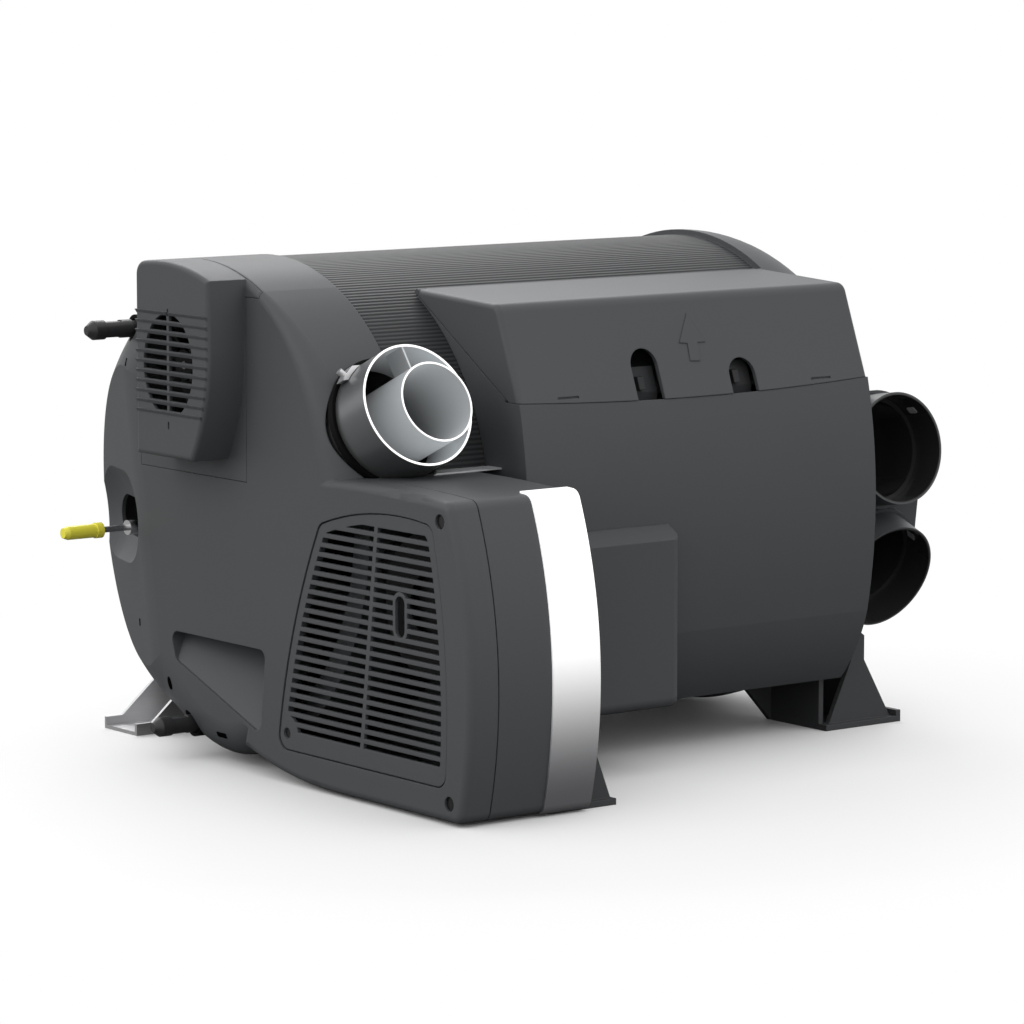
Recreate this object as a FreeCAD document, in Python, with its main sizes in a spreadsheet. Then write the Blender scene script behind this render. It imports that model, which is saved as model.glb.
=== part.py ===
import FreeCAD, Part
import math
import os
import Sketcher
from FreeCAD import Placement, Rotation, Vector

# Combi heater: a drum that warms air and water, lying on three feet.
# Lengths are in millimetres and angles in degrees. Inside the heater a place is given by
# u, along the drum from its left end face, and v and w, from the drum's axis to the rear and up.

SIZES = {
    # the drum's place in the part's frame
    "end_face_x": -227.25,
    "axis_y": 60.56,
    "axis_z": 166.0,
    # general
    "wall": 3.0,
    "seam": 0.3,
    "running_gap": 0.05,
    # drum end cap
    "drum_radius": 162.0,
    "cap_length": 60.0,
    "cap_round": 22.0,
    "cap_round_start": 168.0,
    "under_round": 54.0,
    "under_rise": 256.0,
    "under_start": 292.0,
    "under_end": 418.0,
    "cap_round_fade": 440.0,
    "corner_round": 5.0,
    "slant_start": 68.0,
    "slant_angle": 17.5,
    "slant_lean": -9.0,
    "slant_blend": 70.0,
    "rim_round": 5.0,
    # burner front and housing
    "burner_depth": 21.0,
    "burner_seam": 0.8,
    "burner_end": 99.0,
    "burner_roof": 34.0,
    "burner_roof_middle": 192.0,
    "burner_inner_edge": 100.0,
    "burner_brow": 31.0,
    "burner_brow_reach": 272.0,
    "burner_reach": 294.0,
    "burner_belly": 67.0,
    "burner_foot_reach": 284.0,
    "burner_floor": 164.0,
    "burner_floor_rear": 150.0,
    "burner_rise_middle": 96.0,
    "burner_rise_bow": 159.5,
    "burner_rise": 148.0,
    "burner_rise_reach": 50.0,
    "burner_corner": 8.0,
    "burner_edge": 5.0,
    # trim band
    "trim_start": 62.0,
    "trim_width": 36.5,
    "trim_thickness": 1.2,
    "trim_top_reach": 262.0,
    # burner grille
    "grille_setback": 0.6,
    "grille_thickness": 2.4,
    "grille_lip": 4.0,
    "grille_border": 6.0,
    "eye_front": 222.0,
    "eye_high": 36.0,
    "eye_low": 52.0,
    "eye_radius": 4.8,
    "eye_rim": 2.6,
    "pad_front": 100.0,
    "pad_drop": 133.0,
    "pad_radius": 12.0,
    "pad_recess": 3.6,
    "pad_depth": 1.5,
    "grille_top": 15.0,
    "grille_top_drop": 11.0,
    "grille_floor": 143.0,
    "grille_inner_top": 138.0,
    "grille_inner_foot": 91.0,
    "grille_outer_top": 255.0,
    "grille_outer_foot": 268.0,
    "grille_bow": 7.0,
    "grille_corner": 9.0,
    "grille_groove": 0.9,
    "grille_rows": 24,
    "grille_pitch": 6.2,
    "grille_slot": 3.3,
    "grille_rib": 3.6,
    "grille_rib_top": 199.0,
    "grille_rib_foot": 180.0,
    # fan cover
    "cover_depth": 28.0,
    "cover_front": 56.0,
    "cover_rear": 28.0,
    "cover_floor": 36.0,
    "cover_floor_front": 36.0,
    "cover_bend": 105.0,
    "cover_edge": 3.0,
    "cover_wall": 2.4,
    "cover_lap": 1.5,
    "flange_rear": 66.0,
    "flange_floor": 23.0,
    "flange_front": 57.0,
    "flange_lip": 72.0,
    "flange_lip_height": 4.0,
    "cover_corner": 9.0,
    "lug_reach": 4.0,
    "lug_width": 18.0,
    "lug_thickness": 2.0,
    "louvre_rows": 11,
    "louvre_pitch": 6.4,
    "louvre_top": 129.5,
    "louvre_step": 1.4,
    "vent_rows": 10,
    "vent_slot": 3.4,
    "vent_drop": 3.9,
    "vent_front": 10.0,
    "tick_width": 1.6,
    "tick_height": 4.5,
    "tick_depth": 1.2,
    "tick_upper": 127.0,
    "tick_lower": 54.5,
    "vent_height": 95.0,
    "vent_half_width": 28.5,
    "vent_half_height": 33.5,
    "vent_rib": 2.6,
    # grip hollow in the end cap
    "grip_rear": 33.0,
    "grip_front": 77.0,
    "grip_top": 83.0,
    "grip_floor": 138.0,
    "grip_rear_floor": 102.0,
    "grip_depth": 44.0,
    "grip_shallow": 1.5,
    "grip_slope": 36.0,
    "grip_corner": 6.0,
    # hollow round the fuel pipe
    "hollow_v": 105.0,
    "hollow_w": -18.5,
    "hollow_radius": 49.0,
    "hollow_stand": 37.5,
    "hollow_run": 26.0,
    "hollow_hole": 13.0,
    "hollow_hole_v": 98.0,
    "hollow_hole_run": 31.0,
    "hollow_hole_w": -18.5,
    # drum jacket and air hood
    "jacket_radius": 160.5,
    "jacket_wall": 2.5,
    "jacket_end": 405.0,
    "hood_radius": 164.0,
    "hood_groove": 1.6,
    "hood_end": 484.0,
    "hood_round": 77.0,
    "hood_wall": 3.0,
    "outlet_u": 456.0,
    "outlet_radius": 38.0,
    "outlet_wall": 1.8,
    "outlet_reach": 171.0,
    "outlet_root": 106.0,
    "outlet_step_depth": 24.0,
    "outlet_step": 3.0,
    "outlet_upper_angle": 7.8,
    "outlet_lower_angle": -22.6,
    "outlet_fit": 0.1,
    "socket_wall": 2.5,
    "socket_reach": 150.0,
    # electronics housing and lid
    "case_start": 115.0,
    "case_end": 406.3,
    "case_rear": 83.5,
    "case_top": 142.0,
    "brow_reach": 169.0,
    "brow_top": 137.5,
    "brow_round": 8.0,
    "lid_edge": 3.5,
    "parting": 77.0,
    "parting_reach": 192.0,
    "parting_sag": 4.3,
    "case_belly": 20.0,
    "case_belly_reach": 200.5,
    "case_lower": 80.0,
    "case_lower_reach": 194.0,
    "case_chin": 108.0,
    "case_chin_reach": 182.5,
    "case_floor": 129.0,
    "case_floor_reach": 168.0,
    "case_floor_rear": 90.0,
    "notch_left": 221.0,
    "notch_left_top": 105.0,
    "notch_right": 300.0,
    "notch_right_top": 95.0,
    "notch_width": 22.0,
    "latch_width": 24.0,
    "latch_thickness": 2.5,
    "latch_foot": 20.0,
    "latch_stand": 5.0,
    "latch_rise": 16.0,
    "latch_hook": 4.0,
    "nub_low": 2.0,
    "nub_high": 10.0,
    "nub_width": 5.0,
    "nub_shift": 7.0,
    "slit_left": 146.0,
    "slit_right": 357.0,
    "slit_length": 17.0,
    "slit_floor": 77.5,
    "slit_size": 1.2,
    "front_zone": 23.0,
    "latch_travel": 2.5,
    "hinge_v": 83.5,
    "hinge_w": 140.2,
    "barrel_radius": 2.0,
    "hinge_pin_radius": 1.1,
    "ear_thickness": 3.0,
    "ear_width": 4.0,
    "ear_drop": 26.0,
    # cable cover on the electronics housing
    "cable_start": 121.0,
    "cable_end": 228.0,
    "cable_reach": 216.0,
    "cable_top": 6.0,
    "cable_floor": 124.0,
    "cable_slope": 9.0,
    "cable_corner": 7.0,
    # feet
    "left_foot_u": 19.0,
    "left_foot_length": 60.0,
    "left_foot_v": 105.0,
    "left_foot_width": 40.0,
    "left_foot_rim": 8.0,
    "left_foot_sheet": 2.5,
    "left_foot_toe": 13.0,
    "left_foot_post": 12.0,
    "left_foot_rise": 30.0,
    "foot_hole_radius": 3.2,
    "front_foot_u": 72.0,
    "front_foot_length": 53.0,
    "front_foot_v": -278.0,
    "front_foot_depth": 40.0,
    "front_foot_rise": 57.0,
    "foot_plate": 4.0,
    "foot_web": 4.0,
    "right_foot_u": 399.0,
    "right_foot_length": 67.0,
    "right_foot_v": -162.0,
    "right_foot_depth": 62.0,
    "right_foot_apex_u": 430.0,
    "right_foot_apex_half": 6.0,
    "right_foot_neck": 121.0,
    "right_foot_top": 85.0,
    "right_foot_lean": 34.0,
    # flue
    "flue_u": 46.0,
    "flue_angle": 24.0,
    "flue_radius": 39.8,
    "flue_wall": 1.4,
    "flue_root": 150.0,
    "flue_reach": 196.0,
    "exhaust_radius": 26.2,
    "exhaust_wall": 1.2,
    "exhaust_shift": 12.0,
    "exhaust_reach": 200.0,
    "exhaust_root": 122.0,
    "seal_width": 2.6,
    "seal_foot": 158.5,
    "seal_top": 163.5,
    "web_thickness": 1.2,
    "web_upper_angle": 100.0,
    "web_lower_angle": 325.0,
    "web_depth": 18.0,
    "clamp_width": 8.0,
    "clamp_thickness": 3.0,
    "clamp_reach": 173.0,
    "clamp_span": 9.0,
    "clamp_lift": 31.0,
    "clamp_screw_radius": 2.2,
    "clamp_screw_length": 4.0,
    "shield_start": 58.0,
    "shield_front": 174.0,
    "shield_depth": 14.0,
    "shield_thickness": 1.0,
    # water
    "hot_v": 94.0,
    "hot_w": 110.0,
    "hot_reach": 24.0,
    "hot_end": 10.0,
    "hot_seal_u": 14.0,
    "cold_v": 20.0,
    "cold_w": -144.0,
    "cold_reach": 23.0,
    "cold_end": 20.0,
    "cold_seal_u": 9.0,
    "stub_radius": 6.4,
    "stub_tip": 3.0,
    "stub_point": 5.0,
    "stub_grip": 8.0,
    "stub_waist": 6.0,
    "stub_neck": 5.0,
    "stub_neck_length": 12.0,
    "stub_flat": 1.4,
    "stub_flat_length": 13.0,
    "water_pipe_radius": 5.0,
    "water_seal_width": 2.5,
    "water_seal_length": 9.0,
    # fuel
    "fuel_v": 97.0,
    "fuel_w": -23.0,
    "fuel_radius": 2.0,
    "fuel_reach": 36.0,
    "fuel_bend": 20.0,
    "fuel_inner": 62.0,
    "fuel_cap_radius": 4.6,
    "fuel_cap_length": 29.5,
    "fuel_cap_tip": 42.0,
    "fuel_cap_collar": 5.2,
    "fuel_cap_collar_length": 5.0,
    "fuel_cap_point": 3.4,
    "union_radius": 5.0,
    "union_length": 9.0,
    "union_start": 8.0,
    # inner parts
    "bulkhead_u": 90.0,
    "bulkhead_thickness": 3.0,
    "bulkhead_fit": 0.1,
    "bulkhead_vents": 12,
    "bulkhead_vent_radius": 7.0,
    "bulkhead_vent_circle": 92.0,
    "tank_radius": 150.0,
    "tank_bore": 110.0,
    "tank_length": 300.0,
    "tank_corner": 10.0,
    "exchanger_radius": 78.0,
    "exchanger_bore": 50.0,
    "exchanger_length": 372.0,
    "fin_reach": 104.0,
    "fin_thickness": 3.0,
    "fin_count": 24,
    "tube_radius": 47.0,
    "tube_wall": 2.0,
    "tube_length": 190.0,
    "burner_head_radius": 44.0,
    "burner_head_length": 50.0,
    "plug_radius": 4.0,
    "plug_length": 22.0,
    "plug_u": 64.0,
    "blower_v": -218.0,
    "blower_w": -40.0,
    "blower_u": 26.0,
    "blower_radius": 46.0,
    "blower_length": 40.0,
    "blower_wall": 2.0,
    "blower_inlet": 20.0,
    "blower_vane_radius": 38.0,
    "blower_vane_root": 22.8,
    "blower_hub": 9.0,
    "blower_vane_length": 22.0,
    "blower_vane_thickness": 1.6,
    "blower_vanes": 16,
    "motor_radius": 22.0,
    "shaft_radius": 2.5,
    "duct_radius": 13.0,
    "duct_wall": 1.6,
    "duct_w": -20.0,
    "duct_u": 44.0,
    "fan_u": -16.0,
    "fan_radius": 34.0,
    "fan_hub": 10.0,
    "fan_blade_length": 16.0,
    "fan_blade_thickness": 2.0,
    "fan_blades": 7,
    "fan_motor_u": 8.0,
    "fan_motor_radius": 18.0,
    "fan_motor_length": 32.0,
    "carrier_radius": 24.0,
    "carrier_wall": 2.0,
    # electronics
    "board_start": 140.0,
    "board_length": 230.0,
    "board_floor": -70.0,
    "board_height": 120.0,
    "board_v": -182.0,
    "board_thickness": 1.6,
    "board_margin": 10.0,
    "boss_radius": 4.0,
    "board_screw_radius": 1.5,
    "board_screw_head": 3.0,
    "board_screw_head_length": 2.0,
    "relay_length": 28.0,
    "relay_height": 20.0,
    "relay_depth": 12.0,
    "terminal_length": 60.0,
    "terminal_height": 14.0,
    "terminal_depth": 10.0,
    "capacitor_radius": 6.0,
    "capacitor_length": 13.0,
    "sensor_radius": 4.0,
    "sensor_length": 20.0,
    "sensor_v": 128.0,
    # screws in the burner front
    "screw_head_radius": 4.6,
    "screw_head_length": 3.0,
    "screw_shank_radius": 2.2,
    "screw_shank_length": 11.0,
    "screw_sink": 3.0,
    "screw_boss": 8.0,
    "screw_upper_v": -264.0,
    "screw_upper_w": 19.0,
    "screw_lower_v": -273.0,
    "screw_lower_w": -152.0,
}

doc = FreeCAD.newDocument("combi_heater")
sheet = doc.addObject("Spreadsheet::Sheet", "sizes")
for row, (alias, number) in enumerate(SIZES.items(), start=1):
    sheet.set(f"A{row}", alias)
    sheet.set(f"B{row}", str(number))
    sheet.setAlias(f"B{row}", alias)
doc.recompute()

TINY = 1e-4
AXIS = Vector(1, 0, 0)
REAR = Vector(0, 1, 0)
UP = Vector(0, 0, 1)
parts = {}


class Size:
    # A length that knows its number and the formula over the sheet that gives it.

    def __init__(self, number, formula):
        self.number = number
        self.formula = formula

    def __float__(self):
        return self.number

    def __add__(self, other):
        other = as_size(other)
        return Size(self.number + other.number, f"({self.formula} + {other.formula})")

    def __sub__(self, other):
        other = as_size(other)
        return Size(self.number - other.number, f"({self.formula} - {other.formula})")

    def __mul__(self, other):
        other = as_size(other)
        return Size(self.number * other.number, f"({self.formula} * {other.formula})")

    def __truediv__(self, other):
        other = as_size(other)
        return Size(self.number / other.number, f"({self.formula} / {other.formula})")

    def __neg__(self):
        return Size(-self.number, f"(0 - {self.formula})")


def as_size(value):
    return value if isinstance(value, Size) else Size(float(value), str(float(value)))


class Sizes:
    # The sheet's cells as lengths with formulas.

    def __getattr__(self, alias):
        return Size(float(sheet.get(alias)), f"sizes.{alias}")


class Numbers:
    # The sheet's cells as plain numbers.

    def __getattr__(self, alias):
        return float(sheet.get(alias))


size = Sizes()
mm = Numbers()


# Helpers: keeping and seating pieces

def keep(label, piece):
    piece.Label = label
    parts[label] = piece
    return piece


def bind(piece, **formulas):
    for name, value in formulas.items():
        piece.setExpression(name, as_size(value).formula)


def seat(piece, u=0.0, v=0.0, w=0.0, turn=Rotation()):
    # puts a piece at u, v, w in the heater
    piece.Placement = Placement(Vector(), turn)
    base = (size.end_face_x + u, size.axis_y + v, size.axis_z + w)
    for name, value in zip("xyz", base):
        piece.setExpression(f"Placement.Base.{name}", value.formula)
    return piece


def moulded(label, shape):
    # a piece whose shape is already drawn in u, v, w
    piece = doc.addObject("Part::Feature", label)
    piece.Shape = shape
    seat(piece)
    return keep(label, piece)


def radial(angle):
    # direction away from the drum's axis towards the front, raised by an angle
    tilt = math.radians(angle)
    return Vector(0, -math.cos(tilt), math.sin(tilt))


# Helpers: sketched bodies

def new_body(label, kept=True):
    body = doc.addObject("PartDesign::Body", label)
    if kept:
        keep(label, body)
    return body


def origin_feature(body, role):
    return next(item for item in body.Origin.OriginFeatures if item.Role == role)


def new_sketch(body, role):
    sketch = body.newObject("Sketcher::SketchObject", f"{body.Name}_sketch")
    sketch.AttachmentSupport = [(origin_feature(body, role), "")]
    sketch.MapMode = "FlatFace"
    return sketch


def fix_point(sketch, geometry, point, x, y):
    for kind, value in (("DistanceX", as_size(x)), ("DistanceY", as_size(y))):
        index = sketch.addConstraint(Sketcher.Constraint(kind, -1, 1, geometry, point, value.number))
        sketch.setExpression(f"Constraints[{index}]", value.formula)


def draw_polygon(sketch, corners):
    spots = [Vector(float(x), float(y), 0) for x, y in corners]
    first = sketch.GeometryCount
    count = len(spots)
    for index in range(count):
        sketch.addGeometry(Part.LineSegment(spots[index], spots[(index + 1) % count]))
    for index in range(count):
        follower = first + (index + 1) % count
        sketch.addConstraint(Sketcher.Constraint("Coincident", first + index, 2, follower, 1))
    for index, (x, y) in enumerate(corners):
        fix_point(sketch, first + index, 1, x, y)


def draw_circle(sketch, x, y, radius):
    middle = Vector(float(x), float(y), 0)
    index = sketch.addGeometry(Part.Circle(middle, UP, float(radius)))
    constraint = sketch.addConstraint(Sketcher.Constraint("Radius", index, float(radius)))
    sketch.setExpression(f"Constraints[{constraint}]", as_size(radius).formula)
    fix_point(sketch, index, 3, x, y)


def pad(body, sketch, length, back=False):
    feature = body.newObject("PartDesign::Pad", f"{body.Name}_pad")
    feature.Profile = sketch
    feature.Reversed = back
    bind(feature, Length=length)
    return feature


def pocket(body, sketch, back=False):
    feature = body.newObject("PartDesign::Pocket", f"{body.Name}_pocket")
    feature.Profile = sketch
    feature.Type = "ThroughAll"
    feature.Reversed = back
    return feature


def turned(label, profile, kept=True):
    # a round piece: its profile, as pairs of length and radius, turned about its own X axis
    body = new_body(label, kept)
    sketch = new_sketch(body, "XY_Plane")
    draw_polygon(sketch, profile)
    feature = body.newObject("PartDesign::Revolution", f"{label}_turn")
    feature.Profile = sketch
    feature.ReferenceAxis = (sketch, ["H_Axis"])
    feature.Angle = 360
    return body


def round_about(body, feature, count):
    pattern = body.newObject("PartDesign::PolarPattern", f"{body.Name}_ring")
    pattern.Originals = [feature]
    pattern.Axis = (origin_feature(body, "X_Axis"), [""])
    pattern.Angle = 360
    bind(pattern, Occurrences=count)
    body.Tip = pattern
    return pattern


def tube_profile(start, end, outer, inner):
    return [(start, inner), (end, inner), (end, outer), (start, outer)]


def rod_profile(start, end, radius):
    return [(start, 0), (end, 0), (end, radius), (start, radius)]


# Helpers: drawn solids

def outline(start, runs, place):
    # closed outline: a run is the end of a straight edge, or the middle and end of an arc
    edges = []
    here = place(*start)
    for run in runs + [[start]]:
        spots = [place(*spot) for spot in run]
        if len(spots) == 2:
            edges.append(Part.Arc(here, spots[0], spots[1]).toShape())
        elif here.distanceToPoint(spots[0]) > TINY:
            edges.append(Part.LineSegment(here, spots[0]).toShape())
        here = spots[-1]
    return Part.Wire(edges)


def across(u):
    return lambda v, w: Vector(u, v, w)


def facing_front(v):
    return lambda u, w: Vector(u, v, w)


def facing_up(w):
    return lambda u, v: Vector(u, v, w)


def grown(wire, distance):
    # the same outline, moved outwards by a distance, or inwards by a negative one
    if abs(distance) < TINY:
        return wire
    return wire.makeOffset2D(distance, 2)


def prism(wire, way):
    return Part.Face(wire).extrude(way)


def cylinder(radius, start, end, middle=Vector(), way=AXIS):
    return Part.makeCylinder(radius, end - start, middle + way * start, way)


def end_edges(shape, u):
    return [edge for edge in shape.Edges
            if abs(edge.BoundBox.XMin - u) < TINY and abs(edge.BoundBox.XMax - u) < TINY]


def edges_along(shape, way):
    return [edge for edge in shape.Edges
            if isinstance(edge.Curve, Part.Line) and abs(edge.Curve.Direction.dot(way)) > 1 - TINY]


def near_point(edges, v, w):
    # the edge along the drum that lies nearest to a point of its section
    return min(edges, key=lambda edge: math.hypot(edge.CenterOfMass.y - v, edge.CenterOfMass.z - w))


# Forms that several pieces share

def flue_cylinder(radius, start, end, shift=0.0):
    return cylinder(radius, start, end, Vector(mm.flue_u + shift, 0, 0), radial(mm.flue_angle))


def drum_sector(first_angle, last_angle, radius, start, end):
    # part of a drum between two angles, counted from the rear over the top to the front
    corners = [Vector(start, 0, 0), Vector(end, 0, 0), Vector(end, radius, 0), Vector(start, radius, 0)]
    half = Part.Face(Part.makePolygon(corners + corners[:1]))
    half.rotate(Vector(), AXIS, first_angle)
    return half.revolve(Vector(), AXIS, last_angle - first_angle)


def rounded_sector(first_angle, last_angle, first_round, last_round):
    # drum sector whose end edge is rounded, from one radius to another
    sector = drum_sector(first_angle, last_angle, mm.drum_radius, 0.0, mm.cap_length)
    rims = [edge for edge in end_edges(sector, 0.0) if isinstance(edge.Curve, Part.Circle)]
    return sector.makeFillet(first_round, last_round, rims)


def slanted_drum(inset):
    # drum whose end face bends back towards the rear in a smooth sweep, with its rim rounded
    tilt = math.radians(mm.slant_angle)
    far = 2 * mm.drum_radius
    bend = mm.slant_blend
    level = inset - mm.running_gap
    first_v = mm.slant_start - bend * math.tan(tilt / 2)
    middle = (level + bend * (1 - math.cos(tilt / 2)), first_v + bend * math.sin(tilt / 2))
    last = (level + bend * (1 - math.cos(tilt)), first_v + bend * math.sin(tilt))
    runs = [[(level, first_v)], [middle, last],
            [(last[0] + far * math.sin(tilt), last[1] + far * math.cos(tilt))],
            [(-far, last[1] + far * math.cos(tilt))], [(-far, -far)]]
    waste = prism(outline((level, -far), runs, facing_up(-far)), UP * (2 * far))
    waste.rotate(Vector(), AXIS, mm.slant_lean)
    drum = cylinder(mm.drum_radius - inset, -far / 2, mm.cap_length).cut(waste)
    rim = [edge for edge in drum.Edges if isinstance(edge.Curve, Part.Ellipse)]
    return drum.makeFillet(mm.rim_round, rim)


def burner_outline(u, growth=0.0):
    # section of the burner box: arched roof, bowed front, flat floor that rises to the drum
    start = (-mm.burner_inner_edge, mm.burner_brow)
    brow = (-mm.burner_brow_reach, mm.burner_brow)
    foot = (-mm.burner_foot_reach, -mm.burner_floor)
    runs = [[(-mm.burner_roof_middle, mm.burner_roof), brow],
            [(-mm.burner_reach, -mm.burner_belly), foot],
            [(-mm.burner_floor_rear, -mm.burner_floor)],
            [(-mm.burner_rise_middle, -mm.burner_rise_bow), (-mm.burner_rise_reach, -mm.burner_rise)]]
    return grown(outline(start, runs, across(u)), growth)


def burner_box(start, end, growth=0.0):
    box = prism(burner_outline(start, growth), AXIS * (end - start))
    ribs = edges_along(box, AXIS)
    corners = [near_point(ribs, -mm.burner_brow_reach, mm.burner_brow),
               near_point(ribs, -mm.burner_foot_reach, -mm.burner_floor)]
    return box.makeFillet(mm.burner_corner, corners)


def cap_body():
    # round end of the cap: its edge is sharp behind the fan cover and grows rounder to the front
    cover_angle = math.degrees(math.acos(-mm.flange_lip / mm.drum_radius))
    sectors = [rounded_sector(cover_angle, mm.cap_round_start, mm.corner_round, mm.cap_round),
               rounded_sector(mm.cap_round_start, mm.under_rise, mm.cap_round, mm.cap_round),
               rounded_sector(mm.under_rise, mm.under_start, mm.cap_round, mm.under_round),
               rounded_sector(mm.under_start, mm.under_end, mm.under_round, mm.under_round),
               rounded_sector(mm.under_end, mm.cap_round_fade, mm.under_round, mm.corner_round),
               drum_sector(mm.cap_round_fade, cover_angle + 360, mm.drum_radius, 0.0, mm.cap_length)]
    drum = sectors[0].multiFuse(sectors[1:]).removeSplitter()
    return drum.common(slanted_drum(0.0))


def cap_cavity():
    # space inside the cap
    drum = cylinder(mm.drum_radius - mm.wall, mm.wall, mm.cap_length)
    drum = drum.makeFillet(mm.cap_round, end_edges(drum, mm.wall))
    under = drum_sector(mm.cap_round_start, mm.cap_round_fade, mm.drum_radius - mm.wall, mm.wall, mm.cap_length)
    under_room = under.makeFillet(mm.under_round, [edge for edge in end_edges(under, mm.wall)
                                                   if isinstance(edge.Curve, Part.Circle)])
    return drum.cut(under).fuse(under_room).common(slanted_drum(mm.wall))


def grille_outline(u, growth=0.0):
    # four bowed edges of the burner grille
    inner_top = (-mm.grille_inner_top, mm.grille_top - mm.grille_top_drop)
    outer_top = (-mm.grille_outer_top, mm.grille_top)
    outer_foot = (-mm.grille_outer_foot, -mm.grille_floor)
    inner_foot = (-mm.grille_inner_foot, -mm.grille_floor)
    top_middle = ((inner_top[0] + outer_top[0]) / 2, (inner_top[1] + outer_top[1]) / 2 + mm.grille_bow)
    outer_middle = ((outer_top[0] + outer_foot[0]) / 2 - mm.grille_bow, (outer_top[1] + outer_foot[1]) / 2)
    inner_middle = ((inner_top[0] + inner_foot[0]) / 2 + mm.grille_bow, (inner_top[1] + inner_foot[1]) / 2)
    runs = [[top_middle, outer_top], [outer_middle, outer_foot], [inner_foot], [inner_middle, inner_top]]
    return grown(outline(inner_top, runs, across(u)), growth)


def grille_block(start, end, growth=0.0):
    block = prism(grille_outline(start, growth), AXIS * (end - start))
    return block.makeFillet(mm.grille_corner, edges_along(block, AXIS))


def on_drum(v):
    # height of the drum's skin above its axis
    return math.sqrt(mm.drum_radius ** 2 - v ** 2)


def cover_outline(u, growth=0.0):
    # section of the fan cover's box: drum arc on top, straight rear, front drawn in below
    front_top = (-mm.cover_front, on_drum(mm.cover_front))
    middle = (mm.cover_rear - mm.cover_front) / 2
    rear_top = (mm.cover_rear, on_drum(mm.cover_rear))
    foot = (-mm.cover_floor_front, mm.cover_floor)
    bend = (-mm.cover_front, mm.cover_bend)
    bow = (-(mm.cover_front * 3 + mm.cover_floor_front) / 4, (mm.cover_bend + mm.cover_floor) / 2)
    runs = [[(middle, on_drum(middle)), rear_top], [(mm.cover_rear, mm.cover_floor)], [foot], [bow, bend]]
    return grown(outline(front_top, runs, across(u)), growth)


def flange_outline(u, growth=0.0):
    # edge of the fan cover where it lies in the end face, with a lip along the drum at its top
    lip_top = (-mm.flange_lip, on_drum(mm.flange_lip))
    lip_foot = lip_top[1] - mm.flange_lip_height
    middle = (mm.flange_rear - mm.flange_lip) / 2
    rear_top = (mm.flange_rear, on_drum(mm.flange_rear))
    runs = [[(middle, on_drum(middle)), rear_top],
            [(mm.flange_rear, mm.flange_floor)], [(-mm.flange_front, mm.flange_floor)],
            [(-mm.flange_front, lip_foot)], [(-mm.flange_lip, lip_foot)]]
    return grown(outline(lip_top, runs, across(u)), growth)


def slot_rows(count, top, pitch, height, start, end):
    # level slots across the front, one below the other, wide enough for any outline
    reach = 2 * mm.drum_radius
    slots = [Part.makeBox(end - start, 2 * reach, height, Vector(start, -reach, top - row * pitch - height))
             for row in range(int(count))]
    return Part.makeCompound(slots)


def grip_block(growth):
    # grip hollow: its floor slopes in from the lower edge and is deepest under the top edge
    rear_foot = (mm.grip_rear - mm.grip_corner, -mm.grip_rear_floor)
    front_foot = (-mm.grip_front + mm.grip_corner, -mm.grip_floor)
    runs = [[(-mm.grip_front, -mm.grip_top)], [front_foot], [rear_foot]]
    depth = mm.grip_depth + growth
    wire = grown(outline((mm.grip_rear, -mm.grip_top), runs, across(-mm.wall)), growth)
    block = prism(wire, AXIS * (depth + mm.wall))
    block = block.makeFillet(mm.grip_corner, edges_along(block, AXIS))
    edge_way = (Vector(0, *rear_foot) - Vector(0, *front_foot)).normalize()
    rise_way = AXIS.cross(edge_way)
    length = mm.grip_front + mm.grip_rear
    base = Vector(0, *front_foot) - edge_way * length
    slope = math.tan(math.radians(mm.grip_slope))

    def on_floor(u, rise):
        return base + AXIS * u + rise_way * rise

    low = mm.grip_shallow + growth
    wire = outline((low - length * slope, -length), [[(low + length * slope, length)], [(2 * length, length)],
                                                     [(2 * length, -length)]], on_floor)
    return block.cut(prism(wire, edge_way * (3 * length)))


def fuel_hollow(radius):
    # dish round the fuel pipe: a ball drawn along the slanted face towards the rear
    tilt = math.radians(mm.slant_angle)
    along = Vector(math.sin(tilt), math.cos(tilt), 0)
    out = Vector(-math.cos(tilt), math.sin(tilt), 0)
    face = Vector((mm.hollow_v - mm.slant_start) * math.tan(tilt), mm.hollow_v, mm.hollow_w)
    start = face + out * mm.hollow_stand
    end = start + along * mm.hollow_run
    run = cylinder(radius, 0.0, mm.hollow_run, start, along)
    return run.multiFuse([Part.makeSphere(radius, start), Part.makeSphere(radius, end)])


def fuel_passage():
    # long hole in the dish for the fuel pipe
    ends = [cylinder(mm.hollow_hole, 0.0, mm.cap_length, Vector(0, v, mm.hollow_hole_w))
            for v in (mm.hollow_hole_v, mm.hollow_hole_v + mm.hollow_hole_run)]
    slab = Part.makeBox(mm.cap_length, mm.hollow_hole_run, 2 * mm.hollow_hole,
                        Vector(0, mm.hollow_hole_v, mm.hollow_hole_w - mm.hollow_hole))
    return slab.multiFuse(ends)


# Outer mouldings

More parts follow.
